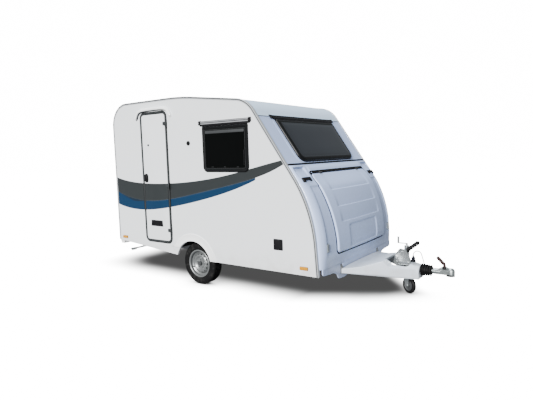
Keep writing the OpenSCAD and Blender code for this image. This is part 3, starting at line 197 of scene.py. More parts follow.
class Graph:
    """The node tree of one material."""

    def __init__(self, name: str) -> None:
        """Start a material with an empty tree and its shader.

        Args:
            name: the material's name.
        """
        self.material = bpy.data.materials.new(name)
        self.material.use_nodes = True
        self.tree = self.material.node_tree
        self.tree.nodes.clear()
        self.shader = self.tree.nodes.new("ShaderNodeBsdfPrincipled")
        output = self.tree.nodes.new("ShaderNodeOutputMaterial")
        self.tree.links.new(self.shader.outputs[0], output.inputs[0])
        self._place: Wire | None = None

    def add(
        self, kind: str, settings: dict | None = None, inputs: dict | None = None, output: int | str = 0
    ) -> Wire:
        """Make any node.

        Args:
            kind: the node's type.
            settings: attributes that are set first; "stops" fills a colour ramp.
            inputs: values or wires by socket name or number.
            output: the socket that is returned.

        Returns:
            The chosen output.
        """
        node = self.tree.nodes.new(kind)
        for key, value in (settings or {}).items():
            if key == "stops":
                ramp = node.color_ramp
                while len(ramp.elements) < len(value):
                    ramp.elements.new(1.0)
                for element, (place, colour) in zip(ramp.elements, value):
                    element.position = place
                    element.color = (*colour, 1.0)
            else:
                setattr(node, key, value)
        for key, value in (inputs or {}).items():
            self.put(node.inputs[key], value)
        return Wire(self, node.outputs[output])

    def put(self, socket: bpy.types.NodeSocket, value: Wire | float | Sequence[float]) -> None:
        """Link a wire to a socket, or set its value."""
        if isinstance(value, Wire):
            self.tree.links.new(value.socket, socket)
        elif isinstance(value, (int, float)):
            socket.default_value = value
        else:
            size = len(socket.default_value)
            socket.default_value = (*value, 1.0)[:size]

    def place(self) -> Wire:
        """Object coordinates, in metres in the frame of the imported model."""
        if self._place is None:
            self._place = self.add("ShaderNodeTexCoord", output="Object")
        return self._place

    def axes(self, vector: Wire | None = None) -> tuple[Wire, ...]:
        """The three numbers of a vector, by default of the Object coordinates."""
        split = self.add("ShaderNodeSeparateXYZ", None, {0: vector or self.place()})
        outs = split.socket.node.outputs
        return tuple(Wire(self, out) for out in outs)

    def noise(self, scale: float, detail: float = 3.0, stretch: Sequence[float] | None = None) -> Wire:
        """Noise on Object coordinates.

        Args:
            scale: waves per metre.
            detail: octaves.
            stretch: factors on the three axes.

        Returns:
            A value about 0.5.
        """
        vector = self.place()
        if stretch is not None:
            vector = self.add("ShaderNodeMapping", None, {"Vector": vector, "Scale": stretch})
        return self.add("ShaderNodeTexNoise", None, {"Vector": vector, "Scale": scale, "Detail": detail})

    def mix(self, factor: Wire | float, a: Wire | Colour, b: Wire | Colour) -> Wire:
        """Colour between a and b."""
        return self.add("ShaderNodeMix", {"data_type": "RGBA"}, {0: factor, 6: a, 7: b}, output=2)

    def set(self, **sockets: Wire | float | Sequence[float]) -> None:
        """Set or link the shader's sockets; underscores stand for spaces."""
        for name, value in sockets.items():
            self.put(self.shader.inputs[name.replace("_", " ")], value)

    def bump(self, height: Wire, depth: float, strength: float = 1.0) -> None:
        """Feed a height in metres times depth to the shader's normal."""
        self.set(
            Normal=self.add(
                "ShaderNodeBump", None, {"Height": height, "Distance": depth, "Strength": strength}, "Normal"
            )
        )


# Finishes.


@dataclass(frozen=True)
class Finish:
    """A surface finish.

    Fields: its name, colour, roughness, metallic share, clear coat, how far the colour varies, the height up to
    which a darker, browner tint reaches, grain size and depth, and how strongly it mirrors.
    """

    name: str
    colour: Colour
    roughness: float = 0.4
    metallic: float = 0.0
    coat: float = 0.0
    vary: float = 0.06
    low_tint_height: float = 0.0
    grain: float = 400.0
    grain_depth: float = 0.0
    specular: float = 0.5
    low_tint_colour: Colour = (0.36, 0.33, 0.29)

    def material(self) -> bpy.types.Material:
        """The material, made once."""
        found = bpy.data.materials.get(self.name + "_finish")
        return found or self.build()

    def ground(self, graph: Graph) -> Wire:
        """Base colour: the finish's own, lighter and darker in soft patches.

        Args:
            graph: the material's graph.

        Returns:
            The colour.
        """
        dark = tuple(c * (1.0 - self.vary) for c in self.colour)
        light = tuple(min(1.0, c * (1.0 + self.vary)) for c in self.colour)
        return graph.mix(graph.noise(3.0, 4.0), dark, light)

    def pattern(self, graph: Graph, colour: Wire) -> Wire:
        """Pattern on the ground colour; plain finishes have none."""
        return colour

    def low_tint(self, graph: Graph, colour: Wire) -> Wire:
        """A darker, browner tint that thins out upwards and gathers in patches.

        Args:
            graph: the material's graph.
            colour: the colour without the tint.

        Returns:
            The colour with its tint.
        """
        if self.low_tint_height <= 0.0:
            return colour
        z = graph.axes()[2]
        patches = graph.noise(9.0, 5.0).step(0.35, 0.75)
        # Darker and browner below the given height, fading upwards, stronger in patches.
        amount = z.step(self.low_tint_height, self.low_tint_height * 0.35) * (0.12 + 0.35 * patches)
        return graph.mix(amount, colour, self.low_tint_colour)

    def relief(self, graph: Graph) -> None:
        """Fine grain of the surface."""
        if self.grain_depth > 0.0:
            graph.bump(graph.noise(self.grain, 2.0), self.grain_depth)

    def build(self) -> bpy.types.Material:
        """Make the material from ground, pattern, wear and relief."""
        graph = Graph(self.name + "_finish")
        graph.set(Base_Color=self.low_tint(graph, self.pattern(graph, self.ground(graph))))
        graph.set(Metallic=self.metallic, Coat_Weight=self.coat, Specular_IOR_Level=self.specular)
        rough = graph.noise(12.0, 3.0)
        graph.set(Roughness=self.roughness * 0.85 + rough * (self.roughness * 0.3))
        self.relief(graph)
        return graph.material


@dataclass(frozen=True)
class StripedSheet(Finish):
    """White sheet with a grey and a blue sweep along the side.

    Each edge of the sweep is a curve z(x) through points taken along the side, kept
    as the polynomial that fits them best.
    """

    grey: Colour = (0.016, 0.019, 0.02)
    blue: Colour = (0.0, 0.019, 0.055)
    shade: Colour = (0.002, 0.01, 0.022)
    top: Table = mm(
        (-1537, 1399), (-1248, 1341), (-919, 1324), (-608, 1321), (-313, 1329), (-33, 1350), (251, 1387),
        (567, 1436), (796, 1478), (925, 1507), (1129, 1552), (1351, 1599)
    )
    middle: Table = mm(
        (-1529, 1198), (-1382, 1135), (-1114, 1094), (-833, 1089), (-525, 1107), (-270, 1136), (-45, 1176),
        (224, 1234), (561, 1309), (798, 1361), (993, 1398), (1238, 1473), (1430, 1571)
    )
    low: Table = mm(
        (-1536, 1012), (-1375, 970), (-1127, 950), (-887, 955), (-534, 991), (-278, 1030), (130, 1118),
        (474, 1204), (795, 1296), (1021, 1385)
    )

    def curve(self, x: Wire, points: Table, degree: int = 5) -> Wire:
        """Height of an edge at x: the best polynomial, worked out by Horner's rule."""
        table = np.array(points)
        first, *rest = np.polyfit(table[:, 0], table[:, 1], degree)
        value = x * float(first) + float(rest[0])
        for factor in rest[1:]:
            value = value * x + float(factor)
        return value

    def pattern(self, graph: Graph, colour: Wire) -> Wire:
        """Paint the sweep on the outer face: blue under grey, with a dark crescent between them at the rear."""
        x, y, z = graph.axes()
        outside = abs(y).step(HALF_W - 0.016, HALF_W - 0.012)
        x = x + MID
        edge = 0.0012
        top = z - self.curve(x, self.top)
        middle = z - self.curve(x, self.middle)
        low = z - self.curve(x, self.low, 4)
        grey = top.step(edge, -edge) * middle.step(-edge, edge) * outside
        blue = middle.step(edge, -edge) * low.step(-edge, edge) * x.step(1.03, 1.02) * outside
        bulge = 1.0 - abs((x + 1.18) / 0.36)
        crescent = (middle + bulge.most(0.0) * 0.034).step(-edge, edge) * blue
        out = graph.mix(blue, colour, self.blue)
        out = graph.mix(crescent, out, self.shade)
        return graph.mix(grey, out, self.grey)


@dataclass(frozen=True)
class Shaded(Finish):
    """White floor with a contact shade and a soft one away from the key light."""

    def pattern(self, graph: Graph, colour: Wire) -> Wire:
        """Contact shade from the open share of the sky within 0.4 m, times the soft shade.

        The soft shade lies under the body and away from the key light; beside the
        drawbar its near edge slants inwards.
        """
        open_sky = graph.add("ShaderNodeAmbientOcclusion", {"samples": 16}, {"Distance": 0.4}, "AO")
        share = ((open_sky - 0.1) / 0.8).most(0.0).least(1.0)
        x, y, _ = graph.axes()
        x = x + MID
        near = y - (x - 1.4).most(0.0) * 0.55
        across = near.step(-1.05, -0.15) * y.step(3.4, 0.8)
        front = x + (y - 0.1).most(0.0) * 0.9
        along = x.step(-2.65, -1.45) * front.step(2.75, 2.15)
        return graph.mix(share**1.5 * (1.0 - across * along) ** 4.6, (0.0045, 0.0045, 0.0045), colour)


@dataclass(frozen=True)
class Woven(Finish):
    """Woven cloth: threads across and along, one over the other."""

    thread: float = 900.0

    def pattern(self, graph: Graph, colour: Wire) -> Wire:
        """Painted shade: darker thread where the weave dips."""
        x, y, z = graph.axes()
        weave = ((x + z) * self.thread).sine() * ((y + z) * self.thread).sine()
        dark = tuple(c * 0.6 for c in self.colour)
        return graph.mix(weave.step(-0.5, 0.7), dark, colour)


@dataclass(frozen=True)
class Grained(Finish):
    """Wood with its grain along y."""

    def pattern(self, graph: Graph, colour: Wire) -> Wire:
        """Rings as a wave bent by noise."""
        x, _, z = graph.axes()
        bend = graph.noise(2.5, 4.0, (1.0, 0.15, 1.0))
        rings = ((x + z) * 90.0 + bend * 26.0).sine()
        dark = tuple(c * 0.62 for c in self.colour)
        return graph.mix(rings.step(-0.9, 0.9) * 0.6, colour, dark)


@dataclass(frozen=True)
class Galvanised(Finish):
    """Hot dipped zinc: flat crystals of slightly different grey."""

    def pattern(self, graph: Graph, colour: Wire) -> Wire:
        """Crystals from Voronoi cells."""
        cells = graph.add("ShaderNodeTexVoronoi", None, {"Vector": graph.place(), "Scale": 90.0}, "Color")
        tone = graph.axes(cells)[0]
        dark = tuple(c * 0.72 for c in self.colour)
        return graph.mix(tone * 0.6, colour, dark)


@dataclass(frozen=True)
class Rubber(Finish):
    """Black rubber with a grey bloom in patches."""

    bloom: Colour = (0.03, 0.029, 0.028)

    def pattern(self, graph: Graph, colour: Wire) -> Wire:
        """Bloom where a coarse noise is high."""
        return graph.mix(graph.noise(26.0, 4.0).step(0.48, 0.8) * 0.7, colour, self.bloom)


@dataclass(frozen=True)
class Lens(Finish):
    """Coloured lens with small prisms on its inside."""

    def pattern(self, graph: Graph, colour: Wire) -> Wire:
        """Prisms as a fine check of light and dark."""
        x, y, z = graph.axes()
        rib = (z * 1400.0).sine() * ((x + y) * 1100.0).sine()
        dark = tuple(c * 0.55 for c in self.colour)
        return graph.mix(rib.step(-0.6, 0.8), dark, colour)


@dataclass(frozen=True)
class Brushed(Finish):
    """Drawn metal with lines along x."""

    def relief(self, graph: Graph) -> None:
        """Fine lines."""
        graph.bump(graph.noise(120.0, 2.0, (0.05, 6.0, 6.0)), self.grain_depth)


SHEET = StripedSheet("side_sheet", (0.74, 0.765, 0.79), 0.34, coat=0.1, vary=0.012, low_tint_height=0.62)
PLAIN_SHEET = Finish("plain_sheet", (0.74, 0.765, 0.79), 0.32, coat=0.35, vary=0.015, low_tint_height=0.62)
FRONT_SKIN = Finish("front_moulding", (0.455, 0.565, 0.84), 0.32, coat=0.2, vary=0.02, low_tint_height=0.6)
ROOF_SKIN = Finish("roof_sheet", (0.63, 0.79, 1.0), 0.35, coat=0.2, vary=0.02)
TRIM_GREY = Brushed("edge_trim", (0.44, 0.46, 0.48), 0.42, 0.25, vary=0.06, grain_depth=0.0003)
FRAME_GREY = Brushed(
    "door_frame_grey", (0.026, 0.029, 0.031), 0.5, 0.1, vary=0.1, grain_depth=0.0003, specular=0.2
)
RAIL_METAL = Brushed("awning_rail", (0.42, 0.43, 0.45), 0.35, 0.5, vary=0.06, grain_depth=0.0003)
DARK_RAIL = Brushed("dark_rail", (0.022, 0.024, 0.028), 0.4, 0.3, vary=0.1, grain_depth=0.0003)
BLACK_PLASTIC = Finish(
    "black_plastic", (0.005, 0.005, 0.006), 0.45, vary=0.2, grain=900.0, grain_depth=0.00004, specular=0.18
)
WINDOW_BLACK = Finish(
    "window_border", (0.0035, 0.004, 0.0045), 0.4, vary=0.1, grain=900.0, grain_depth=0.00003, specular=0.2
)
INNER_LINE = Finish("inner_frame", (0.03, 0.032, 0.034), 0.5, vary=0.1, specular=0.3)
GREY_PLASTIC = Finish(
    "grey_plastic", (0.045, 0.047, 0.05), 0.45, vary=0.1, grain=900.0, grain_depth=0.00005, specular=0.3
)
PANE = Finish("tinted_acrylic", (0.0012, 0.0014, 0.0013), 0.1, vary=0.15, specular=0.12)
FRONT_PANE = Finish("front_acrylic", (0.014, 0.017, 0.022), 0.1, coat=0.25, vary=0.15, specular=0.35)
WHITE_PLASTIC = Finish("white_moulding", (0.88, 0.89, 0.9), 0.36, coat=0.15, vary=0.02, low_tint_height=0.55)
LAMP_GREY = Finish("lamp_base", (0.2, 0.23, 0.26), 0.4, vary=0.03, low_tint_height=0.6)
COVER_SKIN = Finish("drawbar_moulding", (0.62, 0.68, 0.76), 0.33, coat=0.25, vary=0.025, low_tint_height=0.5)
TYRE_RUBBER = Rubber(
    "tyre_rubber", (0.005, 0.005, 0.0053), 0.75, vary=0.2, grain=500.0, grain_depth=0.00008, specular=0.1
)
BLACK_RUBBER = Rubber(
    "black_rubber", (0.004, 0.004, 0.0045), 0.6, vary=0.2, grain=600.0, grain_depth=0.00006, specular=0.14
)
WHEEL_PAINT = Finish(
    "wheel_silver", (0.2, 0.21, 0.212), 0.38, 0.6, 0.2, 0.05, grain=1500.0, grain_depth=0.0001
)
HUB_IRON = Finish("hub_iron", (0.075, 0.078, 0.082), 0.5, 0.6, vary=0.2, grain=350.0, grain_depth=0.0006)
CHASSIS = Galvanised("galvanised_chassis", (0.3, 0.315, 0.325), 0.45, 0.65, vary=0.08)
ZINC = Galvanised("zinc_plated", (0.44, 0.465, 0.47), 0.27, 0.85, vary=0.07)
CAST_ZINC = Galvanised("cast_zinc", (0.3, 0.33, 0.33), 0.34, 0.8, vary=0.12, grain=420.0, grain_depth=0.0008)
AXLE_PAINT = Finish(
    "axle_paint", (0.03, 0.032, 0.035), 0.55, 0.2, vary=0.25, low_tint_height=0.6, grain=300.0, grain_depth=0.0006
)
PLYWOOD = Grained("floor_board", (0.13, 0.105, 0.075), 0.75, vary=0.2, grain=180.0, grain_depth=0.0006)
VENEER = Grained("bed_veneer", (0.38, 0.26, 0.15), 0.45, coat=0.2, vary=0.1, grain=220.0, grain_depth=0.0002)
CLOTH = Woven(
    "cushion_cloth", (0.1, 0.15, 0.23), 0.9, vary=0.12, grain=700.0, grain_depth=0.001, specular=0.2
)
PIPING = Woven(
    "cushion_piping", (0.3, 0.33, 0.36), 0.8, vary=0.1, grain=900.0, grain_depth=0.0006, thread=1600.0
)
LINER = Finish("grey_liner", (0.2, 0.205, 0.21), 0.6, vary=0.12, grain=300.0, grain_depth=0.0005)
WELL_BLACK = Finish(
    "wheel_well", (0.01, 0.01, 0.011), 0.8, vary=0.3, grain=300.0, grain_depth=0.0002, specular=0.1
)
GRIP_RED = Finish(
    "handle_grip", (0.018, 0.005, 0.005), 0.42, vary=0.15, grain=900.0, grain_depth=0.00005, specular=0.3
)
PLUG_BLUE = Finish(
    "plug_plastic", (0.0015, 0.0022, 0.007), 0.5, vary=0.15, grain=900.0, grain_depth=0.00004, specular=0.2
)
AMBER = Lens("amber_lens", (0.64, 0.27, 0.0), 0.45, vary=0.05, specular=0.3)
RED = Lens("red_lens", (0.36, 0.008, 0.01), 0.18, coat=0.4, vary=0.05)
CLEAR = Lens("clear_lens", (0.3, 0.34, 0.38), 0.18, coat=0.4, vary=0.05)


# Surfaces.


@dataclass
class Shape:
    """Vertices and faces gathered from whole grids of points."""

    points: list[Array] = field(default_factory=list)
    faces: list[Array] = field(default_factory=list)
    count: int = 0

    def add(self, points: Array, faces: Array) -> Shape:
        """Add points and faces whose numbers start at the first of these points."""
        self.points.append(points.reshape(-1, 3))
        self.faces.append(faces + self.count)
        self.count += points.size // 3
        return self

    def grid(self, points: Array, around: bool = False, closed: bool = False) -> Shape:
        """Quads between neighbours of a grid.

        Args:
            points: rows by columns by 3.
            around: whether the last column joins the first.
            closed: whether the last row joins the first.

        Returns:
            This shape.
        """
        rows, columns = points.shape[:2]
        number = np.arange(rows * columns).reshape(rows, columns)
        here = number if closed else number[:-1]
        above = np.roll(number, -1, 0) if closed else number[1:]
        a, b = (here, above) if around else (here[:, :-1], above[:, :-1])
        c, d = (np.roll(above, -1, 1), np.roll(here, -1, 1)) if around else (above[:, 1:], here[:, 1:])
        return self.add(points, np.stack([a, b, c, d], -1).reshape(-1, 4))

    def fan(self, ring: Array) -> Shape:
        """Triangles from a ring of points to their middle."""
        n = len(ring)
        number = np.arange(n)
        faces = np.stack([number, np.roll(number, -1), np.full(n, n)], -1)
        return self.add(np.vstack([ring, ring.mean(0)]), faces)

    def tube(self, rings: Array, ends: bool = True) -> Shape:
        """A grid that closes round its columns, with both ends filled."""
        self.grid(rings, around=True)
        if ends:
            self.fan(rings[0]).fan(rings[-1])
        return self

    def sheet(self, points: Array, keep: Array) -> Shape:
        """Quads of an open grid, where keep is true for a quad's first corner."""
        rows, columns = points.shape[:2]
        number = np.arange(rows * columns).reshape(rows, columns)
        faces = np.stack([number[:-1, :-1], number[1:, :-1], number[1:, 1:], number[:-1, 1:]], -1)
        return self.add(points, faces[keep[:-1, :-1]])

    def mirrored(self) -> Shape:
        """This shape and its mirror image across the middle plane."""
        both = Shape()
        flip = np.array([1.0, -1.0, 1.0])
        for points, faces, start in zip(self.points, self.faces, self.starts()):
            both.add(points, faces - start)
            both.add(points * flip, faces - start)
        return both

    def starts(self) -> list[int]:
        """Number of the first point of each block."""
        sizes = [len(p) for p in self.points]
        return [sum(sizes[:i]) for i in range(len(sizes))]


def build(
    name: str, shape: Shape, finish: Finish, replaces: Iterable[str] = (), body: str = "caravan",
    angle: float = SHARP,
) -> bpy.types.Object:
    """Turn a shape into a piece of the caravan.

    Args:
        name: the piece's name.
        shape: its points in the axle's frame and its faces.
        finish: its finish.
        replaces: CAD nodes that it stands for.
        body: the CAD body that it rides on.
        angle: edges sharper than this many degrees stay sharp.

    Returns:
        The object, with doubles merged and its faces turned outwards.
    """
    mesh = bpy.data.meshes.new(name)
    points = row(np.vstack(shape.points))
    mesh.vertices.add(len(points))
    mesh.vertices.foreach_set("co", points.ravel())
    sizes = np.concatenate([np.full(len(f), f.shape[1]) for f in shape.faces])
    loops = np.concatenate([f.ravel() for f in shape.faces])
    mesh.loops.add(len(loops))
    mesh.loops.foreach_set("vertex_index", loops.astype(np.int32))
    mesh.polygons.add(len(sizes))
    mesh.polygons.foreach_set("loop_start", np.concatenate([[0], np.cumsum(sizes)[:-1]]).astype(np.int32))
    mesh.update(calc_edges=True)
    mesh.validate()
    tidy = bmesh.new()
    tidy.from_mesh(mesh)
    bmesh.ops.remove_doubles(tidy, verts=tidy.verts, dist=1e-5)
    bmesh.ops.dissolve_degenerate(tidy, edges=tidy.edges, dist=1e-6)
    bmesh.ops.recalc_face_normals(tidy, faces=tidy.faces)
    tidy.to_mesh(mesh)
    tidy.free()
    return enter(name, mesh, finish, replaces, body, angle)


def enter(
    name: str, mesh: bpy.types.Mesh, finish: Finish, replaces: Iterable[str], body: str,
    angle: float = SHARP,
) -> bpy.types.Object:
    """Dress a mesh and hang it on its body.

    Args:
        name: the piece's name.
        mesh: its mesh, in place.
        finish: its finish.
        replaces: CAD nodes that it stands for.
        body: the CAD body that it rides on.
        angle: edges sharper than this many degrees stay sharp.

    Returns:
        The object.
    """
    mesh.shade_smooth()
    mesh.set_sharp_from_angle(angle=math.radians(angle))
    piece = bpy.data.objects.new(name, mesh)
    bpy.context.scene.collection.objects.link(piece)
    mesh.materials.clear()
    mesh.materials.append(finish.material())
    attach(piece, body)
    if replaces:
        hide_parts(*replaces)
    LOG.info("%s: %d faces on %s", name, len(mesh.polygons), body)
    return piece


@dataclass(frozen=True)
class Plane:
    """A flat place on the caravan: an origin, two directions and its outward normal."""

    origin: Point
    across: Point
    up: Point
    out: Point

    def lift(self, flat: Array, height: Array | float) -> Array:
        """Points at flat places of the plane, raised by height along its normal."""
        h = np.broadcast_to(np.asarray(height, float), flat.shape[:-1])[..., None]
        base = np.array(
            self.origin
        ) + flat[..., :1] * np.array(self.across) + flat[..., 1:2] * np.array(self.up)
        return base + h * np.array(self.out)


SLOPE_ANGLE = math.atan2(2.31 - 1.087, 1.777 - 0.933)
DOWN = (math.cos(SLOPE_ANGLE), 0.0, -math.sin(SLOPE_ANGLE))
OUT = (math.sin(SLOPE_ANGLE), 0.0, math.cos(SLOPE_ANGLE))
WALLS = {
    Side.RIGHT: Plane((0, -HALF_W, 0), (1, 0, 0), (0, 0, 1), (0, -1, 0)),
    Side.LEFT: Plane((0, HALF_W, 0), (1, 0, 0), (0, 0, 1), (0, 1, 0)),
}
REAR = Plane((-1.56, 0, 0), (0, 1, 0), (0, 0, 1), (-1, 0, 0))
SLOPE = Plane((0.933, 0, 2.31), DOWN, (0, 1, 0), OUT)
ROOF = Plane((0, 0, 2.437), (1, 0, 0), (0, 1, 0), (0, 0, 1))


@dataclass(frozen=True)
class Outline:
    """A closed figure with rounded corners [u, v, radius]."""

    corners: Table
    arc: int = 9

    def inset(self, t: float) -> Array:
        """Points of the outline moved inwards by t.

        Each corner slides along its bisector, b + (p + q) t / (1 + p.q) with p and q
        the inward normals of its two sides, and its radius shrinks by t; then an arc
        of that radius is laid between its two tangent points.

        Args:
            t: distance inwards, or outwards where negative.

        Returns:
            Points in order, the same number for any t.
        """
        table = np.array(self.corners, float)
        b, r = table[:, :2], table[:, 2]
        after, before = np.roll(b, -1, 0), np.roll(b, 1, 0)
        area = np.sum(b[:, 0] * after[:, 1] - b[:, 1] * after[:, 0])
        turn = np.sign(area)
        come, go = unit(b - before), unit(after - b)
        p = turn * np.stack([-come[:, 1], come[:, 0]], -1)
        q = turn * np.stack([-go[:, 1], go[:, 0]], -1)
        m = b + (p + q) * (t / (1.0 + np.sum(p * q, -1)))[:, None]
        radius = np.where(r > 0, np.maximum(r - t, 1e-4), 1e-4)
        half = np.arccos(np.clip(np.sum(-come * go, -1), -1, 1)) / 2.0
        centre = m + unit(go - come) * (radius / np.sin(half))[:, None]
        start = m - come * (radius / np.tan(half))[:, None] - centre
        first = np.arctan2(start[:, 1], start[:, 0])
        sweep = turn * (math.pi - 2.0 * half)
        bend = np.sign(np.sum(p * go, -1))
        angles = first[:, None] + (sweep * bend)[:, None] * np.linspace(0, 1, self.arc)
        ring = centre[:, None] + radius[:, None, None] * np.stack([np.cos(angles), np.sin(angles)], -1)
        return ring.reshape(-1, 2)

    def rings(self, plane: Plane, profile: Sequence[Pair]) -> Array:
        """Rings of points: one for each (distance inwards, height) of a profile."""
        return np.stack([plane.lift(self.inset(t), h) for t, h in profile])


def plate(x0: float, x1: float, z0: float, z1: float, low: float, high: float | None = None) -> Outline:
    """Rectangle with its lower corners rounded by low and its upper ones by high."""
    high = low if high is None else high
    return Outline(((x0, z0, low), (x0, z1, high), (x1, z1, high), (x1, z0, low)))


def rolled(height: float, radius: float, back: float = 0.0, steps: int = 5) -> list[Pair]:
    """Profile of a plate's edge: up from its back and over a quarter circle.

    Args:
        height: height of the face.
        radius: radius of the edge.
        back: height of the back.
        steps: points on the quarter circle.

    Returns:
        (distance inwards, height) pairs.
    """
    a = np.linspace(0.0, math.pi / 2, steps)
    over = np.stack([radius * (1 - np.cos(a)), height - radius + radius * np.sin(a)], -1)
    return [(0.0, back), *map(tuple, over.tolist())]


def domed(
    shape: Shape, plane: Plane, outline: Outline, profile: Sequence[Pair], base: float = 0.0
) -> Shape:
    """Add a closed plate: rings of a profile round an outline, raised by base, filled at both ends."""
    return shape.tube(outline.rings(plane, [(t, h + base) for t, h in profile]))


def banded(shape: Shape, plane: Plane, outline: Outline, profile: Sequence[Pair]) -> Shape:
    """Add a closed band: a closed profile carried round an outline."""
    return shape.grid(outline.rings(plane, profile), around=True, closed=True)


def bead(inward: float, height: float, radius: float, steps: int = 8) -> list[Pair]:
    """Closed round profile about one (distance inwards, height) point."""
    a = np.linspace(0, 2 * math.pi, steps, endpoint=False)
    return list(zip((inward + radius * np.cos(a)).tolist(), (height + radius * np.sin(a)).tolist()))


def frames(path: Array, lean: Sequence[float]) -> tuple[Array, Array]:
    """Two directions square to a path, the first square to lean as well."""
    along = unit(np.gradient(path, axis=0))
    first = unit(np.cross(along, np.array(lean, float)))
    return first, np.cross(along, first)


def carried(path: Array, section: Array, lean: Sequence[float], scale: Array | float = 1.0) -> Array:
    """Rings of a section carried along a path: path + s (x first + y second)."""
    first, second = frames(path, lean)
    s = np.broadcast_to(np.asarray(scale, float), (len(path),))[:, None, None]
    return path[:, None] + s * (
        section[None, :, :1] * first[:, None] + section[None, :, 1:2] * second[:, None]
    )


def circle(radius: float, sides: int = 16) -> Array:
    """Points of a circle."""
    a = np.linspace(0, 2 * math.pi, sides, endpoint=False)
    return radius * np.stack([np.cos(a), np.sin(a)], -1)


def box_section(w: float, h: float, r: float) -> Array:
    """Points of a rounded rectangle about the origin."""
    return plate(-w / 2, w / 2, -h / 2, h / 2, r).inset(0.0)


def turned(
    profile: Sequence[Sequence[float]], origin: Sequence[float], axis: Sequence[float], sides: int = 48
) -> Array:
    """Rings of a profile [radius, distance along] turned about an axis."""
    table = np.array(profile, float)
    out = unit(np.array(axis, float))
    side = unit(np.cross(out, [0.0, 0.0, 1.0] if abs(out[2]) < 0.9 else [1.0, 0.0, 0.0]))
    other = np.cross(out, side)
    a = np.linspace(0, 2 * math.pi, sides, endpoint=False)
    spoke = np.cos(a)[:, None] * side + np.sin(a)[:, None] * other
    return np.array(origin, float) + table[:, 1, None, None] * out + table[:, 0, None, None] * spoke[None]


def smooth_path(points: Sequence[Sequence[float]], count: int) -> Array:
    """Catmull-Rom curve through points, evenly numbered."""
    p = np.array(points, float)
    ends = np.vstack([2 * p[0] - p[1], p, 2 * p[-1] - p[-2]])
    t = np.linspace(0, len(p) - 1 - 1e-9, count)
    i = t.astype(int)
    f = (t - i)[:, None]
    a, b, c, d = ends[i], ends[i + 1], ends[i + 2], ends[i + 3]
    return 0.5 * (2 * b + (c - a) * f + (2 * a - 5 * b + 4 * c - d) * f**2 + (3 * b - a - 3 * c + d) * f**3)


@dataclass(frozen=True)
class Softened:
    """A CAD node whose edges are rounded: its copy is merged and bevelled."""

    node: str
    finish: Finish
    slot: str
    width: float = 0.003
    body: str = "caravan"

    def make(self, frame: dict) -> bpy.types.Object:
        """Copy the node, clean its flat faces and bevel its edges.


        Returns:
            The piece that stands for the node.
        """
        mesh = frame["nodes"][self.node].data.copy()
        tidy = bmesh.new()
        tidy.from_mesh(mesh)
        bmesh.ops.remove_doubles(tidy, verts=tidy.verts, dist=1e-5)
        bmesh.ops.dissolve_limit(tidy, angle_limit=math.radians(0.6), verts=tidy.verts, edges=tidy.edges)
        tidy.to_mesh(mesh)
        tidy.free()
        piece = enter(self.node + "_soft", mesh, self.finish, [self.node], self.body)
        bevel = piece.modifiers.new("edges", "BEVEL")
        bevel.width = self.width
        bevel.segments = 2
        bevel.limit_method = "ANGLE"
        bevel.angle_limit = math.radians(40)
        bevel.harden_normals = True
        return piece


# The caravan's parts.


